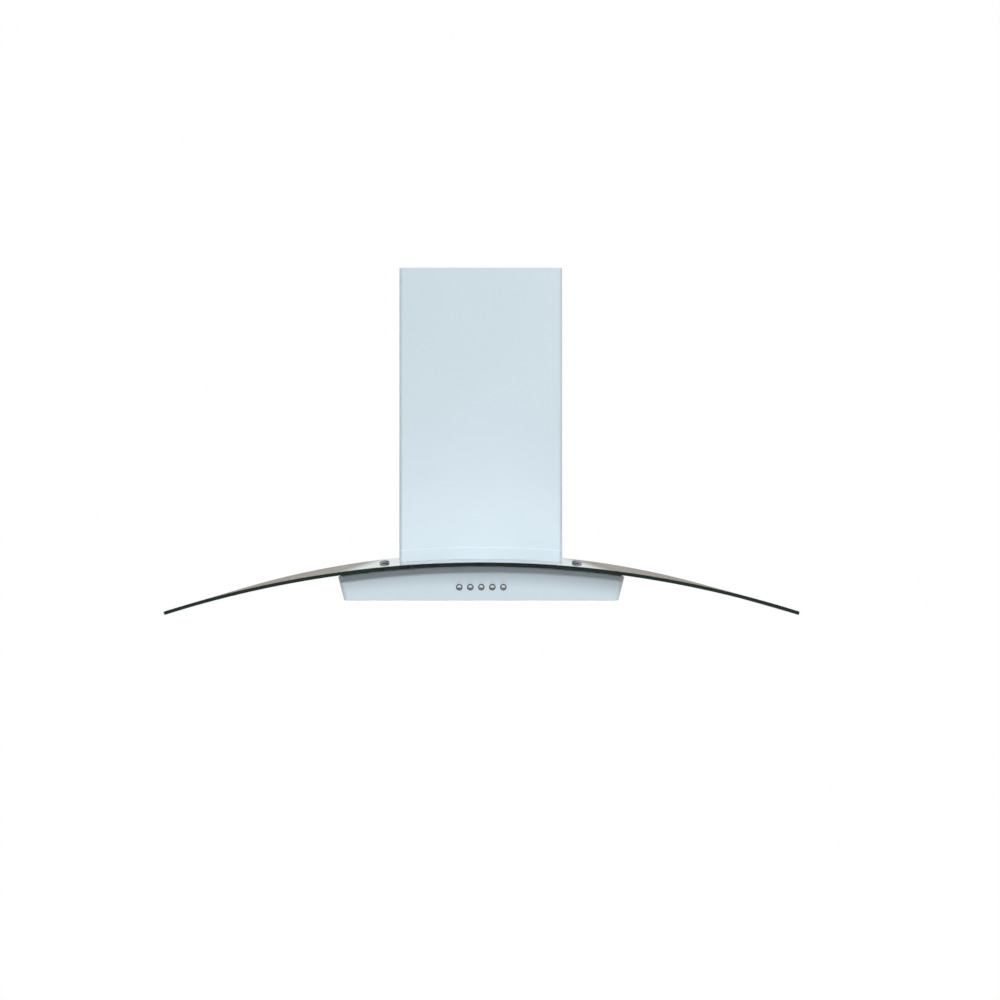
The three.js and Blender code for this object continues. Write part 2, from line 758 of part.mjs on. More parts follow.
function capacitor() {
  const inside = -casingDepth + casingSheet + gap;
  const outside = -casingDepth - gap;
  return turnedIn([
    [0, outside - nutHeight], [nutRadius, outside - nutHeight], [nutRadius, outside],
    [studRadius, outside], [studRadius, inside], [capacitorRadius, inside],
    [capacitorRadius, inside + capacitorLength], [0, inside + capacitorLength],
  ], capacitorX, capacitorZ);
}

function cableGland() {
  const base = casingTop + gap;
  const low = casingTop - casingSheet - glandTail;
  return turnedUp([
    [glandBore, low], [glandNeck, low], [glandNeck, base], [glandRadius, base],
    [glandRadius, base + glandNut], [glandNeck, base + glandHeight], [glandBore, base + glandHeight],
    [glandBore, low],
  ], glandX, glandY);
}

// ---------- Controls ----------

const bore = (x, radius, from, to) => turnedIn(bar(radius, from, to), x, buttonLevel);

function switchBlock() {
  const half = (buttonNames.length * buttonPitch) / 2 + switchMargin;
  const front = bodyInnerFront + gap;
  const low = buttonLevel - switchHeight / 2;
  const body = block(-half, half, front, front + switchDepth, low, low + switchHeight);
  const skirtEnd = bodyFront + buttonSkirt + buttonTravel + buttonStop;
  const plungerEnd = skirtEnd + plungerLength;
  const bores = buttonNames.flatMap((_, i) => [
    bore(buttonX(i), buttonRadius + buttonHole, front - over, skirtEnd),
    bore(buttonX(i), plungerRadius + buttonHole, front, plungerEnd),
  ]);
  return cut(body, ...bores);
}

function button(i) {
  const dome = domed(buttonRadius, bodyFront - buttonRim, bodyFront - buttonProud, 4).reverse();
  const skirt = bodyFront + buttonSkirt;
  const tail = [[buttonRadius, skirt], [plungerRadius, skirt], [plungerRadius, skirt + plungerLength]];
  return turnedIn([...dome, ...tail, [0, skirt + plungerLength]], buttonX(i), buttonLevel);
}

// ---------- Underside: panel, filters and lamps ----------

// The edges of a filter's opening: left, right, front and rear.
function filterBay(side) {
  const near = side * filterFromCentre;
  const far = side * (filterFromCentre + filterWidth);
  return [Math.min(near, far), Math.max(near, far), -filterFromWall - filterDepth, -filterFromWall];
}

function bottomPanel() {
  const half = halfBody - bodySheet - gap;
  const plan = frontRounded(half, bodyInnerFront + gap, -bodySheet - gap, bodyCorner - bodySheet);
  const bays = sides.map(([, side]) => block(...filterBay(side), panelBottom - over, panelTop + over));
  const lampHole = bar(lampRadius + gap, panelBottom - over, panelTop + over);
  const lamps = sides.map(([, side]) => turnedUp(lampHole, side * lampX, lampY));
  return cut(upright(plan, panelBottom, panelTop), ...bays, ...lamps);
}

function filterFrame(side) {
  const [x0, x1, y0, y1] = filterBay(side);
  const c = filterClearance;
  const top = bodyUnderside + filterThickness;
  const frame = block(x0 + c, x1 - c, y0 + c, y1 - c, bodyUnderside, top);
  const w = c + filterFrameWidth;
  const opening = block(x0 + w, x1 - w, y0 + w, y1 - w, bodyUnderside - over, top + over);
  const p = w - meshSeat;
  const pocket = block(x0 + p, x1 - p, y0 + p, y1 - p, bodyUnderside + frameLedge, top + over);
  const tabLow = panelTop + gap;
  const tabs = [x0 + w, x1 - w - tabWidth].map((x) =>
    block(x, x + tabWidth, y1 - w, y1 + tabReach, tabLow, tabLow + tabThickness));
  return cut(join(frame, ...tabs), opening, pocket);
}

function filterMesh(side) {
  const [x0, x1, y0, y1] = filterBay(side);
  const p = filterClearance + filterFrameWidth - meshSeat + gap;
  const low = bodyUnderside + frameLedge + gap;
  return block(x0 + p, x1 - p, y0 + p, y1 - p, low, low + meshThickness);
}

function filterHandle(side) {
  const [x0, x1, y0] = filterBay(side);
  const middle = (x0 + x1) / 2;
  const half = handleWidth / 2;
  const top = bodyUnderside - gap;
  const low = top - handleDrop;
  const c = handleChamfer;
  const inner = half - handleBar;
  const outline = polygon([
    [-half, top], [-half, low + c], [c - half, low], [half - c, low], [half, low + c], [half, top],
    [inner, top], [inner, low + handleBar], [-inner, low + handleBar], [-inner, top],
  ].map(([x, z]) => [middle + x, z]));
  const front = y0 + filterClearance + (filterFrameWidth - handleDepth) / 2;
  return lengthwise(outline, front, front + handleDepth);
}

// A leaf that presses on the filter's front edge and holds it up.
function filterClip(side) {
  const [x0, x1, y0] = filterBay(side);
  const middle = (x0 + x1) / 2;
  const low = panelTop + gap;
  const t = clipSheet;
  const outline = polygon([
    [y0 - clipLength, low], [y0, low], [y0, low + clipHeight], [y0 - t, low + clipHeight], [y0 - t, low + t],
    [y0 - clipLength, low + t],
  ]);
  return crosswise(outline, middle - clipWidth / 2, middle + clipWidth / 2);
}

function lampHousing(side) {
  const top = bodyUnderside + lampHeight;
  const under = panelBottom - gap;
  const seat = bodyUnderside + gap + lensThickness + gap;
  return turnedUp([
    [0, top], [lampRadius, top], [lampRadius, under], [lampRadius + lampFlange, under],
    [lampRadius + lampFlange, bodyUnderside], [lampInner, bodyUnderside], [lampInner, seat],
    [lampInner - lensSeat, seat], [bulbRadius + bulbRoom, top - lampWall], [0, top - lampWall],
  ], side * lampX, lampY);
}

function lampLens(side) {
  const low = bodyUnderside + gap;
  return turnedUp(bar(lampInner - gap, low, low + lensThickness), side * lampX, lampY);
}

function lampBulb(side) {
  const top = bodyUnderside + lampHeight - lampWall - gap;
  const dome = domed(bulbRadius, top - bulbRim, top - bulbHeight, 3).reverse();
  return turnedUp([...dome, [bulbRadius, top], [0, top]], side * lampX, lampY);
}

const controlFront = bodyInnerFront + switchDepth + controlFromSwitches;

function controlBox() {
  const low = panelTop + gap;
  const half = controlWidth / 2;
  const back = controlFront + controlDepth;
  const w = controlWall;
  const shell = block(-half, half, controlFront, back, low, low + controlHeight);
  const hollow = block(-half + w, half - w, controlFront + w, back - w, low - over, low + controlHeight - w);
  return cut(shell, hollow);
}

function controlBoard() {
  const low = panelTop + gap;
  const inset = controlWall + gap * 2;
  const half = controlWidth / 2 - inset;
  const y0 = controlFront + inset;
  const y1 = controlFront + controlDepth - inset;
  const top = low + boardThickness;
  const relays = [];
  for (let i = 0; i < relayCount; i++) {
    const x = ((i + 0.5) / relayCount) * 2 * half - half;
    const y = (y0 + y1) / 2;
    relays.push(block(
      x - relayWidth / 2, x + relayWidth / 2, y - relayDepth / 2, y + relayDepth / 2, low, top + relayHeight,
    ));
  }
  return join(block(-half, half, y0, y1, low, top), ...relays);
}

// ---------- Assembly ----------

add("glass_canopy", glassCanopy(), "glass");
add("glass_seal", glassSeal(), "rubber");
add("body_shell", bodyShell(), "paint");
add("bottom_panel", bottomPanel(), "paint");
add("chimney_foot", chimneyFoot(), "paint");
add("lower_chimney", lowerChimney(), "paint");
add("upper_chimney", upperChimney(), "paint");
add("upper_bracket", upperBracket(), "galvanised");
add("blower_casing", blowerCasing(), "galvanised");
add("casing_back", casingBack(), "galvanised");
add("casing_lid", casingLid(), "galvanised");
add("casing_frame", casingFrame(), "galvanised");
add("duct_collar", ductCollar(), "plastic");
add("damper_pin_front", damperPin(-1), "steel");
add("damper_pin_rear", damperPin(1), "steel");
add("damper_flap_front", damperFlap(-1), "plastic");
add("damper_flap_rear", damperFlap(1), "plastic");
add("scroll_wrapper", scrollWrapper(), "galvanised");
add("impeller", impeller(), "whitePlastic");
add("motor_shaft", motorShaft(), "steel");
add("motor_body", motorBody(), "steel");
add("motor_bracket", motorBracket(), "galvanised");
add("capacitor", capacitor(), "aluminium");
add("cable_gland", cableGland(), "plastic");
add("switch_block", switchBlock(), "plastic");
add("control_box", controlBox(), "whitePlastic");
add("control_board", controlBoard(), "board");
buttonNames.forEach((name, i) => add(name, button(i), "chrome"));
for (const [word, side] of sides) {
  add(`glass_fixing_${word}`, glassFixing(side), "chrome");
  add(`fixing_grommet_${word}`, fixingGrommet(side), "rubber");
  add(`clamp_bolt_${word}_rear`, clampBolt(side, clampYs[0]), "steel");
  add(`clamp_bolt_${word}_front`, clampBolt(side, clampYs[1]), "steel");
  add(`tie_bracket_${word}`, tieBracket(side), "galvanised");
  add(`chimney_screw_${word}`, chimneyScrew(side), "steel");
  add(`scroll_side_${word}`, scrollSide(side), "galvanised");
  add(`filter_frame_${word}`, filterFrame(side), "aluminium");
  add(`filter_mesh_${word}`, filterMesh(side), "aluminium");
  add(`filter_handle_${word}`, filterHandle(side), "steel");
  add(`filter_clip_${word}`, filterClip(side), "steel");
  add(`lamp_housing_${word}`, lampHousing(side), "steel");
  add(`lamp_lens_${word}`, lampLens(side), "lens");
  add(`lamp_bulb_${word}`, lampBulb(side), "lens");
}

export default hood;
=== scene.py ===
from math import asin, atan2, ceil, cos, hypot, pi, radians, sin, sqrt, tan

import bmesh
import bpy
from mathutils import Matrix, Vector


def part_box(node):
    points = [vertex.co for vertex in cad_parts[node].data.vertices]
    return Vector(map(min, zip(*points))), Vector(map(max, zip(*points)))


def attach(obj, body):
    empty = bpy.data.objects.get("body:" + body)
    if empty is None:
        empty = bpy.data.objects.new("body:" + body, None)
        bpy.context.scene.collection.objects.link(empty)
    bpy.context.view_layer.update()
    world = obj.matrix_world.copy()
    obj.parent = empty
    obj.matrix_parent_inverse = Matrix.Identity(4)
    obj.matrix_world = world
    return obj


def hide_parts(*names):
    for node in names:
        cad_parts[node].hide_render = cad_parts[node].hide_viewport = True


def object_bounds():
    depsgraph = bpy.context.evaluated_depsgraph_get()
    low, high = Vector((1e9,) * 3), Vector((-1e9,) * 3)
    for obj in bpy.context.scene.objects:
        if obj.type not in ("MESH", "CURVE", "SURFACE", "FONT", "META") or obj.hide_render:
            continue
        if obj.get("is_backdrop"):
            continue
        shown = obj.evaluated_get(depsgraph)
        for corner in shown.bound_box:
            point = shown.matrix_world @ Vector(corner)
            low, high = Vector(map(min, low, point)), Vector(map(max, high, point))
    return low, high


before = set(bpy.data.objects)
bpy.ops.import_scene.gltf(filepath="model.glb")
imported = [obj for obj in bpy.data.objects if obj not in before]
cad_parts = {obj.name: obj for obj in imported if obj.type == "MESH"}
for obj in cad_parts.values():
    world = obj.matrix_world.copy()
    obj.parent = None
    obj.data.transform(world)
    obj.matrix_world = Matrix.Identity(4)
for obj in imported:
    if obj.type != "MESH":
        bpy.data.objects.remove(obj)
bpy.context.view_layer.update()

mm = 0.001

# ---------------------------------------------------------------------------------------------
# Blower casing: the box that hangs on the wall and holds the fan. It is folded from 1 mm
# galvanised sheet with its back and lid spot-welded in, and the flanged frame at its foot is
# clamped up under the deck. Two keyholes in its back hook on the wall screws.
# ---------------------------------------------------------------------------------------------


def colour(code):
    """An sRGB hex value as the linear colour that a shader takes."""
    parts = [int(code[i:i + 2], 16) / 255 for i in (1, 3, 5)]
    return [p / 12.92 if p <= 0.04045 else ((p + 0.055) / 1.055) ** 2.4 for p in parts] + [1.0]


def node(tree, kind, inputs=None, **settings):
    """Adds a node, sets it, and gives each input a value or a link from a socket."""
    made = tree.nodes.new(kind)
    for name, value in settings.items():
        setattr(made, name, value)
    for name, value in (inputs or {}).items():
        if isinstance(value, bpy.types.NodeSocket):
            tree.links.new(value, made.inputs[name])
        else:
            made.inputs[name].default_value = value
    return made


def material(name, base, roughness, metallic=0.0, **sockets):
    """A material with what is the same all over set on its shader, and its tree to draw the rest in."""
    made = bpy.data.materials.new(name)
    made.use_nodes = True
    shader = made.node_tree.nodes["Principled BSDF"]
    values = {"Base Color": colour(base), "Roughness": roughness, "Metallic": metallic, **sockets}
    for socket, value in values.items():
        shader.inputs[socket.replace("_", " ")].default_value = value
    place = node(made.node_tree, "ShaderNodeTexCoord").outputs["Object"]
    return made, made.node_tree, shader, place


# Hot-dip galvanised sheet: zinc crystals of some 9 mm, each with its own grey and its own sheen.
spangle = 9 * mm
galvanised_sheet, tree, shader, place = material("hot_dip_galvanised_steel", "#A9AFB2", 0.42, 0.9)
crystals = node(tree, "ShaderNodeTexVoronoi", {"Vector": place, "Scale": 1 / spangle, "Randomness": 1.0})
grey = node(tree, "ShaderNodeSeparateColor", {"Color": crystals.outputs["Color"]})
zinc = node(tree, "ShaderNodeMix", {
    "Factor": grey.outputs["Red"], 6: colour("#9AA1A5"), 7: colour("#B9BFC2"),
}, data_type="RGBA")
sheen = node(tree, "ShaderNodeMapRange", {"Value": grey.outputs["Green"], "To Min": 0.34, "To Max": 0.52})
tree.links.new(zinc.outputs[2], shader.inputs["Base Color"])
tree.links.new(sheen.outputs["Result"], shader.inputs["Roughness"])


def plan(u, v, w):
    """Outlines drawn from above, raised along Z."""
    return u, v, w


def front(u, v, w):
    """Outlines drawn from the front, drawn out along Y."""
    return u, w, v


def side(u, v, w):
    """Outlines drawn from the side, drawn out along X."""
    return w, u, v


def rounded(points, radius, steps=4, closed=True):
    """The outline with each corner turned into an arc. `radius` is one size or one for each corner."""
    radii = radius if isinstance(radius, (list, tuple)) else [radius] * len(points)
    made = []
    for i, here in enumerate(points):
        if radii[i] == 0 or (not closed and i in (0, len(points) - 1)):
            made.append(tuple(here))
            continue
        here = Vector(here)
        before = (Vector(points[i - 1]) - here).normalized()
        after = (Vector(points[(i + 1) % len(points)]) - here).normalized()
        half = before.angle(after) / 2
        centre = here + (before + after).normalized() * radii[i] / sin(half)
        start = here + before * radii[i] / tan(half) - centre
        end = here + after * radii[i] / tan(half) - centre
        turn = (atan2(end.y, end.x) - atan2(start.y, start.x) + pi) % (2 * pi) - pi
        for k in range(steps + 1):
            angle = atan2(start.y, start.x) + turn * k / steps
            made.append((centre.x + radii[i] * cos(angle), centre.y + radii[i] * sin(angle)))
    return made


def arc(centre, radius, start, end, steps):
    """Points on an arc between two angles in degrees."""
    angles = [radians(start + (end - start) * k / steps) for k in range(steps + 1)]
    return [(centre[0] + radius * cos(a), centre[1] + radius * sin(a)) for a in angles]


def circle(centre, radius, sides=72):
    """A full round, or with few sides a regular outline such as a nut's."""
    return arc(centre, radius, 0, 360 - 360 / sides, sides - 1)


def rectangle(u0, u1, v0, v1):
    return [(u0, v0), (u1, v0), (u1, v1), (u0, v1)]


def from_faces(points, faces):
    """A closed mesh from points and faces, doubles joined and faces turned outward."""
    made = bmesh.new()
    corners = [made.verts.new(p) for p in points]
    for face in faces:
        made.faces.new([corners[i] for i in face])
    bmesh.ops.remove_doubles(made, verts=made.verts, dist=0.001 * mm)
    bmesh.ops.recalc_face_normals(made, faces=made.faces)
    return made


def joined(*parts):
    """Several meshes as one."""
    made = bmesh.new()
    for part in parts:
        held = bpy.data.meshes.new("part")
        part.to_mesh(held)
        made.from_mesh(held)
        bpy.data.meshes.remove(held)
        part.free()
    return made


def slab(outline, low, high, place=plan, holes=()):
    """A flat solid: an outline, with holes, drawn out between two levels."""
    made = bmesh.new()
    for loop in (outline, *holes):
        corners = [made.verts.new((u, v, low)) for u, v in loop]
        for i in range(len(corners)):
            made.edges.new((corners[i - 1], corners[i]))
    bmesh.ops.triangle_fill(made, edges=made.edges[:], use_beauty=True)
    bmesh.ops.dissolve_limit(made, angle_limit=radians(1), verts=made.verts[:], edges=made.edges[:])
    raised = bmesh.ops.extrude_face_region(made, geom=made.faces[:])["geom"]
    for part in raised:
        if isinstance(part, bmesh.types.BMVert):
            part.co.z = high
    for v in made.verts:
        v.co = place(*v.co)
    bmesh.ops.recalc_face_normals(made, faces=made.faces)
    return made


def strip(path, thickness, low, high, place=plan, closed=False):
    """A bent sheet: a path with its thickness on one side, drawn out between two levels."""
    level = [f if callable(f) else (lambda u, v, value=f: value) for f in (low, high)]
    points = []
    count = len(path)
    for i, (u, v) in enumerate(path):
        before = Vector(path[i - 1] if i or closed else path[i])
        after = Vector(path[(i + 1) % count] if i + 1 < count or closed else path[i])
        here = Vector((u, v))
        normals = [Vector((-d.y, d.x)).normalized() for d in (here - before, after - here) if d.length]
        normal = sum(normals, Vector((0, 0))).normalized()
        inner = here + normal * thickness / normal.dot(normals[0])
        for point in (here, inner):
            points += [place(*point, level[0](*here)), place(*point, level[1](*here))]
    faces = []
    for i in range(count if closed else count - 1):
        a, b = 4 * i, 4 * ((i + 1) % count)
        faces += [(a, b, b + 1, a + 1), (a + 2, a + 3, b + 3, b + 2)]
        faces += [(a + 1, b + 1, b + 3, a + 3), (a, a + 2, b + 2, b)]
    if not closed:
        faces += [(0, 1, 3, 2), (4 * count - 4, 4 * count - 2, 4 * count - 1, 4 * count - 3)]
    return from_faces(points, faces)


def softened(part, width, segments=2, angle=35):
    """Rounds every edge sharper than the angle."""
    sharp = [e for e in part.edges if e.is_manifold and e.calc_face_angle(0) > radians(angle)]
    bmesh.ops.bevel(
        part, geom=sharp, offset=width, offset_type="OFFSET", segments=segments, profile=0.5, affect="EDGES",
        clamp_overlap=False,
    )
    return part


def piece(name, shape, finish, body, slot, *nodes, smooth=35):
    """Sets a finished mesh in the scene: it rides on its body and stands for its CAD nodes."""
    held = bpy.data.meshes.new(name)
    shape.to_mesh(held)
    shape.free()
    held.materials.append(finish)
    held.shade_smooth()
    held.set_sharp_from_angle(angle=radians(smooth))
    made = bpy.data.objects.new(name, held)
    bpy.context.scene.collection.objects.link(made)
    even = made.modifiers.new("even_shading", "WEIGHTED_NORMAL")
    even.keep_sharp = True
    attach(made, body)
    if nodes:
        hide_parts(*nodes)
    return made


# The arch that the glass, its seal, the deck and the casing's flange follow.
half_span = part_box("glass_canopy")[1].x
arch_drop = 70 * mm
arch_radius = (half_span ** 2 + arch_drop ** 2) / (2 * arch_drop)


def on_arch(x, y, below):
    """A point at a depth under the top face of the glass, measured square to the arch."""
    angle = asin(x / arch_radius)
    reach = arch_radius - below
    return reach * sin(angle), y, reach * cos(angle) - arch_radius


def spread(longest, *stops):
    """Even steps from each stop to the next, none over the longest."""
    made = [stops[0]]
    for start, end in zip(stops, stops[1:]):
        count = max(1, ceil(abs(end - start) / longest))
        made += [start + (end - start) * k / count for k in range(1, count + 1)]
    return made


def arched_plate(xs, ys, top, bottom, inside=lambda x, y: True, shift=lambda x, y: y):
    """A plate bent along the arch: a grid of cells, of which the ones outside its outline are left out."""
    cells = {
        (i, j) for i in range(len(xs) - 1) for j in range(len(ys) - 1)
        if inside((xs[i] + xs[i + 1]) / 2, (ys[j] + ys[j + 1]) / 2)
    }
    points, index = [], {}

    def corner(i, j, below):
        key = (i, j, below)
        if key not in index:
            index[key] = len(points)
            points.append(on_arch(xs[i], shift(xs[i], ys[j]), below))
        return index[key]

    faces = []
    for i, j in sorted(cells):
        for below in (top, bottom):
            faces.append([corner(*c, below) for c in ((i, j), (i + 1, j), (i + 1, j + 1), (i, j + 1))])
        around = [((i - 1, j), (i, j), (i, j + 1)), ((i + 1, j), (i + 1, j), (i + 1, j + 1)),
                  ((i, j - 1), (i, j), (i + 1, j)), ((i, j + 1), (i, j + 1), (i + 1, j + 1))]
        for neighbour, a, b in around:
            if neighbour not in cells:
                faces.append([corner(*a, top), corner(*b, top), corner(*b, bottom), corner(*a, bottom)])
    return from_faces(points, faces)


casing_sheet = 1 * mm
casing_half = 104 * mm
casing_depth = 285 * mm
casing_flange = 18 * mm
casing_bend = 2.5 * mm
casing_low, casing_high = (corner.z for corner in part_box("blower_casing"))
deck_strip = 6.3 * mm  # the strip of deck behind the casing
deck_top = 7.6 * mm  # depths under the top face of the glass
deck_bottom = 8.8 * mm
touching = 0.3 * mm  # the gap between pieces that lie on each other
keyhole_x, keyhole_z = 80 * mm, 225 * mm
keyhole_radius = 5 * mm
slot_radius = 2.75 * mm
slot_rise = 12 * mm
outlet_y = -112 * mm
outlet_radius = 75 * mm
collar_wall = 1.2 * mm
collar_inner = outlet_radius - collar_wall
gland_x, gland_y = -78 * mm, -34 * mm
gland_radius = 12 * mm
gland_hole = 8.1 * mm
rib_proud = 0.8 * mm
rib_half = 6 * mm
rib_low, rib_high = 60 * mm, 220 * mm

casing_path = [
    (-casing_half, 0), (-casing_half, -casing_depth), (casing_half, -casing_depth), (casing_half, 0),
]
bent = rounded(casing_path, casing_bend, closed=False)
bent[1:1] = [(-casing_half, -deck_strip + touching), (-casing_half, -deck_strip)]
bent[-1:-1] = [(casing_half, -deck_strip), (casing_half, -deck_strip + touching)]
walls_top = casing_high - casing_sheet - touching
walls = strip(
    bent, casing_sheet,
    lambda u, v: -deck_top + touching if v > -deck_strip + touching / 2 else casing_low, walls_top,
)


def keyhole(x):
    """A round hole that passes a screw's head, with a slot above it for the screw's neck."""
    lean = 90 - atan2(slot_radius, sqrt(keyhole_radius ** 2 - slot_radius ** 2)) * 180 / pi
    round_part = arc((x, keyhole_z), keyhole_radius, lean, -180 - lean, 22)
    return round_part + arc((x, keyhole_z + slot_rise), slot_radius, 180, 0, 10)


back_half = casing_half - casing_sheet - touching
back = slab(
    rectangle(-back_half, back_half, -deck_top + touching, walls_top), -casing_sheet, 0, front,
    [keyhole(-keyhole_x), keyhole(keyhole_x)],
)
lid = slab(
    rounded(rectangle(-casing_half, casing_half, -casing_depth, 0), [casing_bend] * 2 + [0] * 2),
    casing_high - casing_sheet, casing_high, plan,
    [circle((0, outlet_y), collar_inner), circle((gland_x, gland_y), gland_hole, 24)],
)
frame_outer, frame_inner = casing_half + casing_flange, casing_half + touching
frame_front = -casing_depth - touching
foot_frame = arched_plate(
    spread(8 * mm, -frame_outer, -frame_inner, frame_inner, frame_outer),
    [-casing_depth - casing_flange, frame_front, -deck_strip - 3 * touching],
    deck_bottom + touching, deck_bottom + touching + casing_sheet,
    lambda x, y: abs(x) > frame_inner or y < frame_front,
)
ribs = []
for way in (-1, 1):
    for y in (-70 * mm, -145 * mm, -220 * mm):
        outline = rounded(rectangle(y - rib_half, y + rib_half, rib_low, rib_high), rib_half - 0.1 * mm, 6)
        near, far = sorted((way * casing_half, way * (casing_half + rib_proud)))
        ribs.append(softened(slab(outline, near, far, side), 0.5 * mm, 2))
casing = joined(softened(walls, 0.2 * mm, 1), *ribs)
piece("casing_wrap", casing, galvanised_sheet, "hood", "galvanised_steel", "blower_casing")
for name, sheet, cad_name in (
    ("casing_back_panel", back, "casing_back"),
    ("casing_top_panel", lid, "casing_lid"),
    ("casing_foot_frame", foot_frame, "casing_frame"),
):
    piece(name, softened(sheet, 0.2 * mm, 1), galvanised_sheet, "hood", "galvanised_steel", cad_name)

# ---------------------------------------------------------------------------------------------
# Outlet: a moulded black ABS collar for a 150 mm duct on top of the casing, held by four
# screws, with two half-round flaps that fall shut against the draught, each on its steel pin.
# ---------------------------------------------------------------------------------------------

# Moulded ABS: slightly glossy, with a spark-eroded grain of 0.6 mm.
black_abs, tree, shader, place = material("moulded_black_abs", "#222527", 0.45, IOR=1.53)
grain = node(tree, "ShaderNodeTexNoise", {"Vector": place, "Scale": 1 / (0.6 * mm), "Detail": 3.0})
sheen = node(tree, "ShaderNodeMapRange", {"Value": grain.outputs["Fac"], "To Min": 0.38, "To Max": 0.54})
tree.links.new(sheen.outputs["Result"], shader.inputs["Roughness"])
pits = node(tree, "ShaderNodeBump", {"Height": grain.outputs["Fac"], "Distance": 0.03 * mm, "Strength": 0.6})
tree.links.new(pits.outputs["Normal"], shader.inputs["Normal"])

# Zinc-plated steel: a thin bright plating with a faint blue and a sheen that clouds over 3 mm.
zinc_steel, tree, shader, place = material("zinc_plated_steel", "#B4B9BC", 0.28, 1.0)
cloud = node(tree, "ShaderNodeTexNoise", {"Vector": place, "Scale": 1 / (3 * mm), "Detail": 4.0})
tint = node(tree, "ShaderNodeMix", {
    "Factor": cloud.outputs["Fac"], 6: colour("#A9AFB5"), 7: colour("#C3C7C8"),
}, data_type="RGBA")
sheen = node(tree, "ShaderNodeMapRange", {"Value": cloud.outputs["Fac"], "To Min": 0.2, "To Max": 0.38})
tree.links.new(tint.outputs[2], shader.inputs["Base Color"])
tree.links.new(sheen.outputs["Result"], shader.inputs["Roughness"])

collar_base = casing_high + touching
collar_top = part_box("duct_collar")[1].z
plate_half = 95 * mm
pin_level = 274 * mm
pin_offset = 3 * mm
pin_radius = 1.2 * mm
flap_thickness = 1.2 * mm
ledge_top = pin_level - flap_thickness / 2 - touching
ledge_reach = 5 * mm
boss_radius, boss_half = 2.6 * mm, 0.6 * mm
bead_proud, bead_wide = 0.3 * mm, 2 * mm


def turned(profile, steps=48, place=Matrix.Identity(4), closed=False):
    """A turned piece from [radius, height] pairs about local Z, set down by a matrix."""
    loop = [profile[-1], *profile] if closed else profile
    points, faces, rings = [], [], []
    for r, h in loop:
        start = len(points)
        if r < 0.001 * mm:
            points.append(place @ Vector((0, 0, h)))
            rings.append([start] * steps)
            continue
        turn = [2 * pi * k / steps for k in range(steps)]
        points += [place @ Vector((r * cos(a), r * sin(a), h)) for a in turn]
        rings.append([start + k for k in range(steps)])
    for near, far in zip(rings, rings[1:]):
        for k in range(steps):
            n = (k + 1) % steps
            corners = [near[k], near[n], far[n], far[k]]
            face = [c for i, c in enumerate(corners) if c not in corners[:i]]
            if len(face) > 2:
                faces.append(face)
    return from_faces(points, faces)


def upright_at(x, y):
    """Local Z left upright."""
    return Matrix.Translation((x, y, 0))


def across_at(y, z):
    """Local Z turned along X."""
    return Matrix.Translation((0, y, z)) @ Matrix.Rotation(pi / 2, 4, "Y")


base_plate = softened(slab(
    rounded(rectangle(-plate_half, plate_half, outlet_y - plate_half, outlet_y + plate_half), 8 * mm, 6),
    collar_base, collar_base + collar_wall, plan,
    [circle((0, outlet_y), collar_inner), circle((gland_x, gland_y), gland_radius + 2 * touching, 24)],
), 0.25 * mm, 2)
clip_bead = [
    (outlet_radius + bead_proud * (sin(k * pi / 4) - 0.5), collar_top - 8 * mm + bead_wide * k / 4)
    for k in range(5)
]
spigot = turned([
    (collar_inner, collar_base), (outlet_radius + 2.5 * mm, collar_base + collar_wall * 0.9),
    (outlet_radius + 0.9 * mm, collar_base + collar_wall + 0.6 * mm),
    (outlet_radius, collar_base + collar_wall + 2.2 * mm), (outlet_radius, collar_top - 9 * mm), *clip_bead,
    (outlet_radius - 0.2 * mm, collar_top - 5 * mm), (outlet_radius - 0.6 * mm, collar_top - 0.5 * mm),
    (outlet_radius - 0.9 * mm, collar_top), (collar_inner + 0.1 * mm, collar_top),
    (collar_inner, collar_top - 0.3 * mm),
], 96, upright_at(0, outlet_y), closed=True)
ledge = softened(turned(
    rectangle(collar_inner - ledge_reach, collar_inner + collar_wall / 2, ledge_top - collar_wall, ledge_top),
    96, upright_at(0, outlet_y), closed=True,
), 0.25 * mm)
bosses = []
for way in (-1, 1):
    for x in (-1, 1):
        seat = Matrix.Translation((x * (outlet_radius - boss_half), outlet_y + way * pin_offset, pin_level))
        bosses.append(softened(turned(
            rectangle(0, boss_radius, -boss_half, boss_half), 24, seat @ Matrix.Rotation(pi / 2, 4, "Y"),
        ), 0.2 * mm))
piece(
    "moulded_duct_collar", joined(base_plate, spigot, ledge, *bosses), black_abs, "hood", "black_plastic",
    "duct_collar",
)


def cut(part, tool):
    """The part less the tool."""
    objects = []
    for name, shape in (("part", part), ("tool", tool)):
        held = bpy.data.meshes.new(name)
        shape.to_mesh(held)
        shape.free()
        objects.append(bpy.data.objects.new(name, held))
        bpy.context.scene.collection.objects.link(objects[-1])
    saw = objects[0].modifiers.new("cut", "BOOLEAN")
    saw.object = objects[1]
    saw.operation = "DIFFERENCE"
    saw.solver = "EXACT"
    made = bmesh.new()
    made.from_object(objects[0], bpy.context.evaluated_depsgraph_get())
    for used in objects:
        bpy.data.objects.remove(used)
    return made


def screw(radius, height, place):
    """A pan head with a cross recess, its underside at local zero."""
    profile = [(0, 0), (radius, 0), (radius, height * 0.35)]
    profile += [(radius * cos(radians(a)), height * (0.35 + 0.65 * sin(radians(a)))) for a in (22, 45, 67)]
    head = turned([*profile, (0, height)], 32)
    arm, reach = radius * 0.16, radius * 0.62
    quarter = [(reach, -arm), (reach, arm), (arm, arm)]
    cross = [
        (u * a - v * b, u * b + v * a) for a, b in ((1, 0), (0, 1), (-1, 0), (0, -1)) for u, v in quarter
    ]
    made = cut(head, slab(cross, height * 0.45, height * 2))
    made.transform(place)
    return made


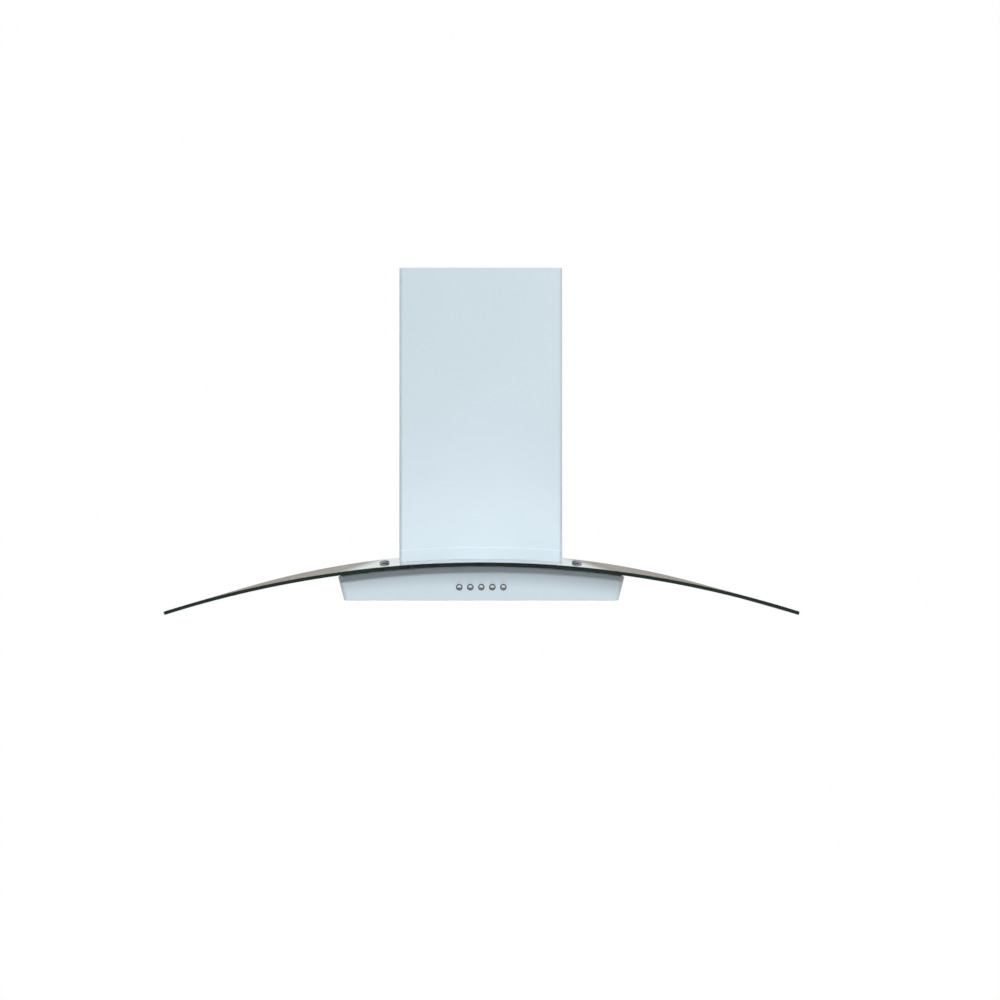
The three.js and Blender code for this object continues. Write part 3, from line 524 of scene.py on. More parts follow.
screw_places = ((86, -26), (86, -198), (-86, -198), (-86, -66))  # in mm, one kept clear of the gland
collar_screws = [
    screw(3.4 * mm, 2.2 * mm, Matrix.Translation((x * mm, y * mm, collar_base + collar_wall)))
    for x, y in screw_places
]
piece("collar_screws", joined(*collar_screws), zinc_steel, "hood", "bright_steel")

flap_radius = collar_inner - 0.8 * mm
flap_edge = 1.95 * mm  # from the pin's axis to the disc's straight edge, in the knuckle's wall
knuckle_radius = 2.4 * mm
knuckle_bore = pin_radius + touching
knuckle_reach = flap_radius - ledge_reach
stiffener_half, stiffener_high = 0.7 * mm, 2.2 * mm
for way, word in ((-1, "front"), (1, "rear")):
    axis_y = outlet_y + way * pin_offset
    pin = turned([
        (0, -outlet_radius), (pin_radius - 0.2 * mm, -outlet_radius), (pin_radius, -outlet_radius + 0.3 * mm),
        (pin_radius, outlet_radius - 0.3 * mm), (pin_radius - 0.2 * mm, outlet_radius), (0, outlet_radius),
    ], 24, across_at(axis_y, pin_level))
    piece(f"flap_pin_{word}", pin, zinc_steel, "hood", "bright_steel", f"damper_pin_{word}")

    lean = asin((pin_offset + flap_edge) / flap_radius) * 180 / pi
    start, end = (180 + lean, 360 - lean) if way < 0 else (lean, 180 - lean)
    half_disc = slab(
        arc((0, outlet_y), flap_radius, start, end, 48), pin_level - flap_thickness / 2,
        pin_level + flap_thickness / 2,
    )
    knuckle = turned(
        rectangle(knuckle_bore, knuckle_radius, -knuckle_reach, knuckle_reach), 24,
        across_at(axis_y, pin_level), closed=True,
    )
    stiffeners = []
    for x in (-36 * mm, 0, 36 * mm):
        reach = sqrt(flap_radius ** 2 - x ** 2) - 8 * mm
        near, far = sorted((axis_y + way * 2 * mm, outlet_y + way * reach))
        outline = rounded(
            rectangle(near, far, pin_level, pin_level + stiffener_high), [0, 0, 1.5 * mm, 1.5 * mm], 3,
        )
        stiffeners.append(softened(
            slab(outline, x - stiffener_half, x + stiffener_half, side), 0.15 * mm, 1, 60,
        ))
    flap = joined(softened(half_disc, 0.2 * mm, 1), softened(knuckle, 0.3 * mm), *stiffeners)
    piece(f"draught_flap_{word}", flap, black_abs, f"{word}_flap", "black_plastic", f"damper_flap_{word}")

# ---------------------------------------------------------------------------------------------
# Fan: a moulded polypropylene impeller with forward-curved blades, on the shaft of a capacitor
# motor, in a scroll of galvanised sheet whose mouth stands under the outlet.
# ---------------------------------------------------------------------------------------------

# Moulded polypropylene: waxy off-white, with the faint flow clouds of a large moulding, some
# 25 mm wide.
white_polypropylene, tree, shader, place = material("moulded_polypropylene", "#E1E2DE", 0.42, IOR=1.49)
flow = node(tree, "ShaderNodeTexNoise", {"Vector": place, "Scale": 1 / (25 * mm), "Detail": 3.0})
cream = node(tree, "ShaderNodeMix", {
    "Factor": flow.outputs["Fac"], 6: colour("#DADBD6"), 7: colour("#E8E9E5"),
}, data_type="RGBA")
tree.links.new(cream.outputs[2], shader.inputs["Base Color"])

# Turned steel, on the motor's can and shaft: bright, with turning marks round it. They are drawn
# 2.5 mm apart, coarser than the real 0.4 mm, so that they show; the wave repeats every 0.314 units.
turned_steel, tree, shader, place = material("turned_steel", "#A5AAAD", 0.3, 1.0)
marks = node(tree, "ShaderNodeTexWave", {
    "Vector": place, "Scale": 1 / (8 * mm), "Distortion": 1.5, "Detail": 2.0,
}, bands_direction="X")
sheen = node(tree, "ShaderNodeMapRange", {"Value": marks.outputs["Fac"], "To Min": 0.24, "To Max": 0.4})
tree.links.new(sheen.outputs["Result"], shader.inputs["Roughness"])


def finish_node(name, finish):
    """Gives a CAD node that keeps its own shape its material."""
    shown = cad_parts[name]
    shown.data.materials.clear()
    shown.data.materials.append(finish)


fan_y, fan_z = -150 * mm, 125 * mm
scroll_half = 58 * mm
scroll_sheet = 1.2 * mm
tongue_angle = radians(105)
tongue_radius = 83 * mm
mouth_radius = 98 * mm
inlet_radius = 58 * mm
mouth_top = casing_high - casing_sheet - touching
inner_face = scroll_half + touching
fan_axis = across_at(fan_y, fan_z)


def scroll_outline(offset, steps=48):
    """The scroll from one lip of its mouth to the other, some way outside its air space."""
    start = tongue_radius + offset
    tongue_y = fan_y + tongue_radius * cos(tongue_angle) - offset
    made = [(tongue_y, mouth_top), (tongue_y, fan_z + sqrt(start ** 2 - (tongue_y - fan_y) ** 2))]
    for k in range(1, steps + 1):
        share = k / steps
        angle = tongue_angle + share * (2 * pi - tongue_angle)
        radius = start + share * (mouth_radius - tongue_radius)
        made.append((fan_y + radius * cos(angle), fan_z + radius * sin(angle)))
    return [*made, (fan_y + mouth_radius + offset, mouth_top)]


def clean_path(points):
    """The path without points closer than a twentieth of a millimetre."""
    made = points[:1]
    for p in points[1:]:
        if hypot(p[0] - made[-1][0], p[1] - made[-1][1]) > 0.05 * mm:
            made.append(p)
    return made


wrapper = strip(clean_path(scroll_outline(0)), -scroll_sheet, -scroll_half, scroll_half, side)
piece(
    "scroll_band", softened(wrapper, 0.2 * mm, 1), galvanised_sheet, "hood", "galvanised_steel",
    "scroll_wrapper",
)
for way, word in ((-1, "left"), (1, "right")):
    near, far = sorted((way * inner_face, way * (inner_face + scroll_sheet)))
    cheek = slab(
        clean_path(scroll_outline(scroll_sheet)), near, far, side, [circle((fan_y, fan_z), inlet_radius)],
    )
    bell = [
        (inlet_radius, inner_face + scroll_sheet), (inlet_radius - 0.8 * mm, inner_face - 0.5 * mm),
        (inlet_radius - 1 * mm, inner_face - 4 * mm), (inlet_radius, inner_face - 4.2 * mm),
        (inlet_radius + 0.3 * mm, inner_face - 1.5 * mm), (inlet_radius + 1.5 * mm, inner_face + 0.2 * mm),
        (inlet_radius + 1.5 * mm, inner_face + scroll_sheet * 0.9),
    ]
    mouth = turned([(r, way * h) for r, h in bell], 72, fan_axis, closed=True)
    foot_front = fan_y + tongue_radius * cos(tongue_angle)
    foot_x = sorted((way * inner_face, way * (inner_face + scroll_sheet + 10 * mm)))
    foot = slab(
        rectangle(*foot_x, foot_front, fan_y + mouth_radius), mouth_top - scroll_sheet, mouth_top,
    )
    piece(
        f"scroll_cheek_{word}", joined(softened(cheek, 0.2 * mm, 1), mouth, softened(foot, 0.2 * mm, 1)),
        galvanised_sheet, "hood", "galvanised_steel", f"scroll_side_{word}",
    )

wheel_radius, wheel_inner = 70 * mm, 60 * mm
wheel_half = 52 * mm
wheel_ring = 2 * mm
shaft_radius = 4 * mm
shaft_bore = shaft_radius + touching
blade_count = 40
blade_wall = 0.9 * mm
hub = softened(turned(rectangle(shaft_bore, 10 * mm, -12 * mm, 3 * mm), 48, fan_axis, closed=True), 0.5 * mm)
disc = softened(turned([
    (shaft_bore, -1 * mm), (16 * mm, -1 * mm), (30 * mm, -3 * mm), (44 * mm, -1 * mm), (69 * mm, -1 * mm),
    (69 * mm, 1 * mm), (44 * mm, 1 * mm), (30 * mm, -1 * mm), (16 * mm, 1 * mm), (shaft_bore, 1 * mm),
], 72, fan_axis, closed=True), 0.3 * mm)
wheel_parts = [hub, disc]
for near in (-wheel_half, wheel_half - wheel_ring):
    ring = turned(rectangle(wheel_inner, wheel_radius, near, near + wheel_ring), 96, fan_axis, closed=True)
    wheel_parts.append(softened(ring, 0.4 * mm))
blade_arc = arc((1.5 * mm, 0), 6.6 * mm, 128, 232, 8)
blade_half = wheel_half - 0.8 * mm
for k in range(blade_count):
    turn = Matrix.Rotation(2 * pi * k / blade_count, 2)
    outer = [turn @ Vector((u, (wheel_radius + wheel_inner) / 2 + v)) for u, v in blade_arc]
    path = [(fan_y + p.x, fan_z + p.y) for p in outer]
    wheel_parts.append(strip(path, blade_wall, -blade_half, blade_half, side))
piece("impeller_wheel", joined(*wheel_parts), white_polypropylene, "fan_rotor", "white_plastic", "impeller")

shaft_low, shaft_high = (corner.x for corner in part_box("motor_shaft"))
shaft = softened(turned(rectangle(0, shaft_radius, shaft_low, shaft_high), 32, fan_axis), 0.5 * mm)
piece("ground_shaft", shaft, turned_steel, "fan_rotor", "bright_steel", "motor_shaft")

motor_near, motor_far = 6 * mm, 66 * mm
motor_radius = 42 * mm
fin_count, fin_pitch, fin_depth = 9, 4.6 * mm, 2.2 * mm
fins = []
for k in range(fin_count):
    x = motor_near + 14 * mm + k * fin_pitch
    fins += [(motor_radius - fin_depth, x), (motor_radius, x + 0.5 * mm), (motor_radius, x + 2.1 * mm),
             (motor_radius - fin_depth, x + 2.6 * mm)]
motor = turned([
    (shaft_bore, motor_near), (20 * mm, motor_near), (21 * mm, motor_near + 1 * mm),
    (21.5 * mm, motor_near + 4 * mm), (37 * mm, motor_near + 4.6 * mm), (40.5 * mm, motor_near + 6 * mm),
    (motor_radius, motor_near + 9 * mm), *fins, (motor_radius, motor_far - 4.4 * mm),
    (40.8 * mm, motor_far - 1.3 * mm), (38 * mm, motor_far), (16 * mm, motor_far),
    (15 * mm, motor_far - 1.2 * mm), (0, motor_far - 1.2 * mm), (0, motor_near + 31 * mm),
    (shaft_bore, motor_near + 31 * mm),
], 72, fan_axis, closed=True)
piece("motor_can", motor, turned_steel, "hood", "bright_steel", "motor_body")
finish_node("motor_bracket", galvanised_sheet)

# ---------------------------------------------------------------------------------------------
# Capacitor and cable gland: a drawn aluminium can on a stud through the casing's front, and
# a black polyamide gland for the supply cord in the casing's top.
# ---------------------------------------------------------------------------------------------

# Drawn aluminium: soft satin, with faint draw lines along the can, half a millimetre apart.
drawn_aluminium, tree, shader, place = material("drawn_aluminium", "#C2C6C8", 0.36, 1.0)
stretch = node(tree, "ShaderNodeMapping", {
    "Vector": place, "Scale": (1 / (0.5 * mm), 1 / (20 * mm), 1 / (0.5 * mm)),
})
lines = node(tree, "ShaderNodeTexNoise", {"Vector": stretch.outputs["Vector"], "Scale": 1.0, "Detail": 2.0})
sheen = node(tree, "ShaderNodeMapRange", {"Value": lines.outputs["Fac"], "To Min": 0.28, "To Max": 0.46})
tree.links.new(sheen.outputs["Result"], shader.inputs["Roughness"])


def inward_at(x, z):
    """Local Z turned along Y, into the hood."""
    return Matrix.Translation((x, 0, z)) @ Matrix.Rotation(-pi / 2, 4, "X")


can_x, can_z = 80 * mm, 34 * mm
can_near = -casing_depth + casing_sheet + touching
can_far = can_near + 58 * mm
can_radius = 17 * mm
stud_radius, stud_end = 3 * mm, can_near - 6 * mm
can = turned([
    (0, stud_end), (stud_radius, stud_end), (stud_radius, can_near), (15.5 * mm, can_near),
    (can_radius, can_near + 1.5 * mm), (can_radius, can_far - 5 * mm), (16.4 * mm, can_far - 4.2 * mm),
    (can_radius, can_far - 3.4 * mm), (can_radius, can_far - 0.8 * mm), (16.2 * mm, can_far),
    (15 * mm, can_far - 0.6 * mm), (0, can_far - 0.6 * mm),
], 48, inward_at(can_x, can_z))


def hexagon(across, low, high, place, chamfer=0.4 * mm):
    """A hexagon nut or head of a given width across its points."""
    made = softened(slab(circle((0, 0), across / 2, 6), low, high), chamfer, 2)
    made.transform(place)
    return made


nut_across, nut_height = 10 * mm, 4 * mm
nut_seat = -casing_depth - touching
stud_nut = hexagon(nut_across, nut_seat - nut_height, nut_seat, inward_at(can_x, can_z))
piece("capacitor_can", joined(can, stud_nut), drawn_aluminium, "hood", "aluminium", "capacitor")

gland_at = upright_at(gland_x, gland_y)
gland_neck = turned([
    (4 * mm, casing_high - 9 * mm), (7.4 * mm, casing_high - 9 * mm), (7.8 * mm, casing_high - 8.4 * mm),
    (7.8 * mm, collar_base + 1 * mm), (10.5 * mm, collar_base + 8 * mm), (10.2 * mm, collar_base + 12 * mm),
    (8.8 * mm, collar_base + 17 * mm), (7.2 * mm, collar_base + 19.6 * mm), (6.6 * mm, collar_base + 20 * mm),
    (4.4 * mm, collar_base + 20 * mm), (4 * mm, collar_base + 19.6 * mm),
], 48, gland_at, closed=True)
gland_nut = softened(slab(
    circle((0, 0), gland_radius, 6), collar_base, collar_base + 8 * mm, plan, [circle((0, 0), 7 * mm, 24)],
), 0.5 * mm, 2, 50)
gland_nut.transform(gland_at)
piece("cord_gland", joined(gland_neck, gland_nut), black_abs, "hood", "black_plastic", "cable_gland")

# ---------------------------------------------------------------------------------------------
# Body: a shallow tray folded from 1.2 mm steel, its sides leaning out to the glass, its deck
# arched like the glass and its lip turned in at the bottom. Powder-coated gloss white.
# ---------------------------------------------------------------------------------------------

# Polyester powder coat on steel: cool white, glossy, with the slight orange peel of the cured
# powder, about 2 mm from crest to crest, and a tone that drifts a little over 90 mm.
peel = 2 * mm
powder_coat, tree, shader, place = material("gloss_powder_coat", "#D5E4ED", 0.24, IOR=1.5)
waves = node(tree, "ShaderNodeTexNoise", {
    "Vector": place, "Scale": 1 / peel, "Detail": 2.0, "Roughness": 0.4,
})
haze = node(tree, "ShaderNodeTexNoise", {"Vector": place, "Scale": 1 / (90 * mm), "Detail": 2.0})
white = node(tree, "ShaderNodeMix", {
    "Factor": haze.outputs["Fac"], 6: colour("#D3E2EB"), 7: colour("#D7E6EF"),
}, data_type="RGBA")
tree.links.new(white.outputs[2], shader.inputs["Base Color"])
sheen = node(tree, "ShaderNodeMapRange", {"Value": haze.outputs["Fac"], "To Min": 0.2, "To Max": 0.28})
tree.links.new(sheen.outputs["Result"], shader.inputs["Roughness"])
skin = node(tree, "ShaderNodeBump", {"Height": waves.outputs["Fac"], "Distance": 0.012 * mm, "Strength": 0.5})
tree.links.new(skin.outputs["Normal"], shader.inputs["Normal"])

body_half = 200 * mm
body_front = -395 * mm
body_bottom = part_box("body_shell")[0].z
body_flare = 0.26
body_corner = 8 * mm
body_sheet = 1.2 * mm
body_bend = 1.6 * mm
lip_width = 10 * mm
button_level = -38 * mm
button_pitch = 16 * mm
button_bore = 4.75 * mm


def arch_height(x, below=0.0):
    """The level of the arch over a point, or of a face some way below it."""
    return sqrt((arch_radius - below) ** 2 - x ** 2) - arch_radius


def tray_outline(half, ahead, behind, corner, rear):
    """A closed outline seen from above, with the same count of points whatever its size."""
    def along(a, b, count):
        return [a + (b - a) * k / count for k in range(1, count)]

    made = [(x, ahead) for x in along(-half + corner, half - corner, 48)]
    made += arc((half - corner, ahead + corner), corner, -90, 0, 6)
    made += [(half, y) for y in along(ahead + corner, behind - rear, 20)]
    made += arc((half - rear, behind - rear), rear, 0, 90, 3)
    made += [(x, behind) for x in along(half - rear, -half + rear, 48)]
    made += arc((-half + rear, behind - rear), rear, 90, 180, 3)
    made += [(-half, y) for y in along(behind - rear, ahead + corner, 20)]
    made += arc((-half + corner, ahead + corner), corner, 180, 270, 6)
    return made


def tray_ring(inset, level):
    """The tray's outline some way in from its faces, each point at its level on the leaning side."""
    half = body_half - inset
    corner, rear = max(body_corner - inset, 0.3 * mm), max(1.5 * mm - inset, 0.3 * mm)
    made = []
    for x, y in tray_outline(half, body_front + inset, -inset, corner, rear):
        u = x
        for _ in range(4):
            u = x * (half + body_flare * (level(u) - body_bottom)) / half
        made.append((u, y, level(u)))
    return made


def tray(sheet):
    """The tray's rings, from the lip's edge round to the deck's opening, that far inside its faces."""
    low, bend, depth = body_bottom + sheet, body_bend - sheet, deck_top + sheet
    turns = [radians(90 * k / 4) for k in range(5)]
    rings = [tray_ring(lip_width, lambda x: low)]
    for turn in turns:
        rings.append(tray_ring(sheet + bend * (1 - sin(turn)), lambda x: low + bend * (1 - cos(turn))))
    for share in (0.35, 0.7):
        rings.append(tray_ring(
            sheet, lambda x: (low + bend) * (1 - share) + (arch_height(x, depth) - bend) * share,
        ))
    for turn in turns:
        rings.append(tray_ring(
            sheet + bend * (1 - cos(turn)), lambda x: arch_height(x, depth) - bend * (1 - sin(turn)),
        ))
    opening = tray_outline(frame_inner, frame_front, -deck_strip + touching, touching, touching)
    edge = rings[-1]
    for share in [k / 8 for k in range(1, 9)]:
        row = [(x + (u - x) * share, y + (v - y) * share) for (x, y, _), (u, v) in zip(edge, opening)]
        rings.append([(x, y, arch_height(x, depth)) for x, y in row])
    return rings


def closed_shell(outer, inner):
    """The two faces of a sheet, each a list of rings, joined along their first and last rings."""
    count = len(outer[0])
    rings = outer + inner[::-1]
    points = [p for r in rings for p in r]
    faces = []
    for i in range(len(rings)):
        a, b = i * count, ((i + 1) % len(rings)) * count
        for k in range(count):
            n = (k + 1) % count
            faces.append((a + k, a + n, b + n, b + k))
    return from_faces(points, faces)


shell = closed_shell(tray(0), tray(body_sheet))
button_seats = [inward_at(k * button_pitch, button_level) for k in range(-2, 3)]
bores = joined(*[
    turned(rectangle(0, button_bore, body_front - 2 * mm, body_front + 4 * mm), 40, seat)
    for seat in button_seats
])
piece("body_tray", cut(shell, bores), powder_coat, "hood", "white_paint", "body_shell")

# ---------------------------------------------------------------------------------------------
# Seal: a strip of black cellular rubber, 12 mm wide and 2 mm thick, stuck to the deck along its
# front and both sides. The glass lies on it.
# ---------------------------------------------------------------------------------------------

# EPDM sponge rubber: matt near-black with open cells of 0.8 mm.
epdm, tree, shader, place = material("epdm_sponge_rubber", "#2A2D2E", 0.85, IOR=1.47)
cells = node(tree, "ShaderNodeTexVoronoi", {"Vector": place, "Scale": 1 / (0.8 * mm)})
dents = node(tree, "ShaderNodeBump", {
    "Height": cells.outputs["Distance"], "Distance": 0.1 * mm, "Strength": 0.6,
})
tree.links.new(dents.outputs["Normal"], shader.inputs["Normal"])

seal_width = 12 * mm
seal_inset = 4 * mm
# The strip runs out to the deck's edge; at the front corners its black rubber stands in for the shadow under
# the glass there, as painted shade.
seal_half = body_half + 6.5 * mm  # out to the edge of the deck, which leans out past the underside
seal_front = body_front + seal_inset
seal_top, seal_bottom = 5.3 * mm, 7.3 * mm  # depths under the top face of the glass
seal = arched_plate(
    [-seal_half, *spread(9 * mm, -seal_half + seal_width, seal_half - seal_width), seal_half],
    [seal_front, seal_front + seal_width, -seal_inset], seal_top, seal_bottom,
    lambda x, y: y < seal_front + seal_width or abs(x) > seal_half - seal_width,
)
piece("glass_seal_strip", softened(seal, 0.4 * mm, 2), epdm, "hood", "seal_rubber", "glass_seal")

# ---------------------------------------------------------------------------------------------
# Glass canopy: one 5 mm pane of float glass, bent to an arch, toughened, and ground and
# polished along its edges, notched at the back for the casing and drilled for six bolts.
# ---------------------------------------------------------------------------------------------

# Float glass: its iron takes a twentieth of the light on the way through the pane, and nearly all
# of it the long way in from an edge, which turns the edge dark green.
float_glass, tree, shader, place = material(
    "toughened_float_glass", "#F4FAF7", 0.0, IOR=1.52, Transmission_Weight=1.0,
)
iron = node(tree, "ShaderNodeVolumeAbsorption", {"Color": colour("#8AB5AD"), "Density": 16.0})
tree.links.new(iron.outputs["Volume"], tree.nodes["Material Output"].inputs["Volume"])

pane_front, pane_rear = (corner.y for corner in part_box("glass_canopy"))
pane_thickness = 5 * mm
pane_corner = 8 * mm
notch_half = casing_half + 3 * mm
notch_front = -casing_depth - 3 * mm
cap_x, cap_y = 150 * mm, -265 * mm
clamp_x = 115.5 * mm
clamp_ys = (-40 * mm, -255 * mm)

corner_steps = [half_span - pane_corner * (1 - sin(radians(a))) for a in range(0, 91, 15)]
half_xs = [*spread(2.5 * mm, 0, notch_half, half_span - pane_corner), *corner_steps[1:]]
pane_xs = [-x for x in half_xs[:0:-1]] + half_xs


def corner_shift(x, y):
    """Rounds the pane's two front corners: the front row bends back with the corner's arc."""
    into = abs(x) - (half_span - pane_corner)
    if y > pane_front + pane_corner or into <= 0:
        return y
    bend = pane_corner - sqrt(max(pane_corner ** 2 - into ** 2, 0))
    return max(y, pane_front + bend)


pane_ys = [pane_front, *spread(30 * mm, pane_front + pane_corner, notch_front, pane_rear)]
pane_mesh = softened(arched_plate(
    pane_xs, pane_ys, 0, pane_thickness, lambda x, y: abs(x) > notch_half or y < notch_front, corner_shift,
), 0.4 * mm, 3)


def on_glass(x, y):
    """Stands a turned piece square on the arch, its zero at the top face of the glass."""
    lean = Matrix.Rotation(asin(x / arch_radius), 4, "Y")
    return Matrix.Translation((0, y, -arch_radius)) @ lean @ Matrix.Translation((0, 0, arch_radius))


bolt_holes = joined(*[
    turned(rectangle(0, 3.5 * mm, -12 * mm, 6 * mm), 32, on_glass(way * x, y))
    for way in (-1, 1) for x, y in ((cap_x, cap_y), (clamp_x, clamp_ys[0]), (clamp_x, clamp_ys[1]))
])
pane = piece(
    "curved_glass_pane", cut(pane_mesh, bolt_holes), float_glass, "hood", "tempered_glass", "glass_canopy",
)

# ---------------------------------------------------------------------------------------------
# Glass fixings: two domed caps of nickel-plated brass beside the chimney, each with a rubber
# grommet under the pane, and four hexagon bolts hidden under the chimney clamp the pane, the deck
# and the casing's frame together.
# ---------------------------------------------------------------------------------------------

# Satin nickel plate over blasted brass: duller and darker than chromium, with a fine haze. It is
# drawn 1.5 mm wide, coarser than the real 0.1 mm, so that it shows.
satin_nickel, tree, shader, place = material("satin_nickel_plate", "#8F9497", 0.34, 1.0)
haze = node(tree, "ShaderNodeTexNoise", {"Vector": place, "Scale": 1 / (1.5 * mm), "Detail": 2.0})
sheen = node(tree, "ShaderNodeMapRange", {"Value": haze.outputs["Fac"], "To Min": 0.31, "To Max": 0.37})
tree.links.new(sheen.outputs["Result"], shader.inputs["Roughness"])

cap_radius = 8 * mm
cap_rim, cap_height = 1 * mm, 5 * mm
bolt_radius = 3 * mm
under = -deck_bottom - touching  # where the nuts bear, measured from the top face of the glass
for way, word in ((-1, "left"), (1, "right")):
    stand = on_glass(way * cap_x, cap_y)
    dome = [
        (cap_radius * cos(radians(a)), cap_rim + (cap_height - cap_rim) * sin(radians(a)))
        for a in range(10, 90, 10)
    ]
    cap = turned([
        (0, under - 5 * mm), (bolt_radius, under - 5 * mm), (bolt_radius, touching),
        (cap_radius - 0.5 * mm, touching), (cap_radius, touching + 0.5 * mm), (cap_radius, cap_rim), *dome,
        (0, cap_height),
    ], 64, stand)
    nut = hexagon(nut_across, under - nut_height, under, stand)
    piece(
        f"fixing_cap_{word}", joined(cap, nut), satin_nickel, "hood", "chrome_button", f"glass_fixing_{word}",
    )
    grommet_bore = bolt_radius + touching
    grommet = turned([
        (grommet_bore, -seal_bottom), (cap_radius - 0.4 * mm, -seal_bottom),
        (cap_radius, -seal_bottom + 0.4 * mm), (cap_radius, -seal_top - 0.3 * mm),
        (cap_radius - 0.3 * mm, -seal_top), (grommet_bore, -seal_top),
    ], 48, stand, closed=True)
    piece(f"grommet_{word}", grommet, epdm, "hood", "seal_rubber", f"fixing_grommet_{word}")
    for place_word, y in (("rear", clamp_ys[0]), ("front", clamp_ys[1])):
        stand = on_glass(way * clamp_x, y)
        low = under - casing_sheet - touching
        shank = turned([
            (0, low - 4.5 * mm), (2.6 * mm, low - 4.5 * mm), (bolt_radius, low - 4 * mm),
            (bolt_radius, touching), (0, touching),
        ], 32, stand)
        bolt = joined(
            shank, hexagon(nut_across, touching, 4 * mm, stand),
            hexagon(nut_across, low - nut_height, low, stand),
        )
        piece(
            f"clamp_bolt_steel_{word}_{place_word}", bolt, zinc_steel, "hood", "bright_steel",
            f"clamp_bolt_{word}_{place_word}",
        )

# ---------------------------------------------------------------------------------------------
# Chimney: a foot band and an outer cover of 1 mm powder-coated steel, folded in three and open to
# the wall, their edges cut to the arch of the glass and the seam between them filled. A smaller
# cover slides up inside them to the ceiling, with its wall bracket.
# ---------------------------------------------------------------------------------------------

chimney_half = 125 * mm
chimney_front = -300 * mm
chimney_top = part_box("lower_chimney")[1].z
chimney_sheet = 1 * mm
chimney_bend = 6 * mm
foot_height = 18 * mm
hairline = 0.03 * mm
foot_screw_y, foot_screw_z = -220 * mm, 1 * mm


def cover_path(inset, bend, rear=0.0):
    """The plan of a three-sided cover, its front points close enough to follow the arch."""
    half, ahead = chimney_half - inset, chimney_front + inset
    corners = rounded([(-half, rear), (-half, ahead), (half, ahead), (half, rear)], bend, 5, closed=False)
    made = corners[:7]
    made += [(x, ahead) for x in spread(10 * mm, -half + bend, half - bend)[1:-1]]
    return made + corners[7:]


def above_arch(height):
    """An edge that keeps one height over the arch."""
    return lambda x, y: arch_height(x) + height


outer_cover = strip(
    cover_path(0, chimney_bend), chimney_sheet, above_arch(foot_height + hairline), chimney_top,
)
piece(
    "chimney_cover", softened(outer_cover, 0.12 * mm, 2), powder_coat, "hood", "white_paint", "lower_chimney",
)

skin_band = strip(cover_path(0, chimney_bend), chimney_sheet, above_arch(hairline), above_arch(foot_height))
tongue = strip(
    cover_path(chimney_sheet + touching / 2, chimney_bend - chimney_sheet), 0.7 * mm,
    above_arch(foot_height - 6 * mm), above_arch(foot_height + 14 * mm),
)
screw_holes = joined(*[
    turned(rectangle(0, 1.8 * mm, way * 120 * mm, way * 128 * mm), 24, across_at(foot_screw_y, foot_screw_z))
    for way in (-1, 1)
])
foot = cut(joined(softened(skin_band, 0.3 * mm, 2), softened(tongue, 0.15 * mm, 1)), screw_holes)
piece("chimney_foot_band", foot, powder_coat, "hood", "white_paint", "chimney_foot")

# White silicone sealant, wiped flush into the seam above the foot band. Its colour, a little paler
# than the coat, is a painted highlight along the seam; it is duller where the finger dragged it,
# some 5 mm at a time.
seam_silicone_painted_highlight, tree, shader, place = material("silicone_with_painted_highlight", "#E1EDF4", 0.4, IOR=1.41)
drag = node(tree, "ShaderNodeTexNoise", {"Vector": place, "Scale": 1 / (5 * mm), "Detail": 2.0})
sheen = node(tree, "ShaderNodeMapRange", {"Value": drag.outputs["Fac"], "To Min": 0.34, "To Max": 0.48})
tree.links.new(sheen.outputs["Result"], shader.inputs["Roughness"])
bead_half = 0.9 * mm
seam = strip(
    cover_path(-0.12 * mm, chimney_bend), 0.3 * mm,
    above_arch(foot_height - bead_half), above_arch(foot_height + bead_half),
)
piece("seam_bead", softened(seam, 0.1 * mm, 1), seam_silicone_painted_highlight, "hood", "white_paint")

upper_low, upper_high = (corner.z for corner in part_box("upper_chimney"))
inner_cover = strip(cover_path(2 * mm, 4 * mm), 0.8 * mm, upper_low, upper_high)
piece(
    "telescopic_cover", softened(inner_cover, 0.25 * mm, 2), powder_coat, "telescopic_chimney", "white_paint",
    "upper_chimney",
)
bracket_low, bracket_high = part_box("upper_bracket")
bracket_path = rounded([
    (bracket_low.x, bracket_low.y), (bracket_low.x, 0), (bracket_high.x, 0), (bracket_high.x, bracket_low.y),
], 2 * mm, 4, closed=False)
wall_strip = strip(bracket_path, -1.5 * mm, bracket_low.z, bracket_high.z)
bracket_middle = (bracket_low.z + bracket_high.z) / 2
wall_holes = joined(*[
    turned(rectangle(0, 3 * mm, -4 * mm, 2 * mm), 32, inward_at(x, bracket_middle))
    for x in (-72 * mm, 72 * mm)
])
piece(
    "wall_bracket", cut(softened(wall_strip, 0.3 * mm, 2), wall_holes), galvanised_sheet,
    "telescopic_chimney", "galvanised_steel", "upper_bracket",
)

# ---------------------------------------------------------------------------------------------
# Tie brackets and side screws: a cranked strip of galvanised sheet each side ties the chimney's
# foot to the casing, with one zinc-plated pan-head screw through the foot.
# ---------------------------------------------------------------------------------------------

for way, word in ((-1, "left"), (1, "right")):
    finish_node(f"tie_bracket_{word}", galvanised_sheet)
    spot = Matrix.Translation((way * (chimney_half + touching), foot_screw_y, foot_screw_z))
    seat = spot @ Matrix.Rotation(way * pi / 2, 4, "Y")
    head = screw(3.2 * mm, 2.3 * mm, seat)
    shank = turned([
        (0, -9 * mm), (1.1 * mm, -8.4 * mm), (1.5 * mm, -7 * mm), (1.5 * mm, 0), (0, 0),
    ], 24, seat)
    piece(
        f"foot_screw_{word}", joined(head, shank), zinc_steel, "hood", "bright_steel",
        f"chimney_screw_{word}",
    )

# ---------------------------------------------------------------------------------------------
# Push buttons: five domed chromed caps, each in a black ABS skirt on a plunger that runs in a
# black switch block behind the front; from the left lamp, off, and three fan speeds.
# ---------------------------------------------------------------------------------------------

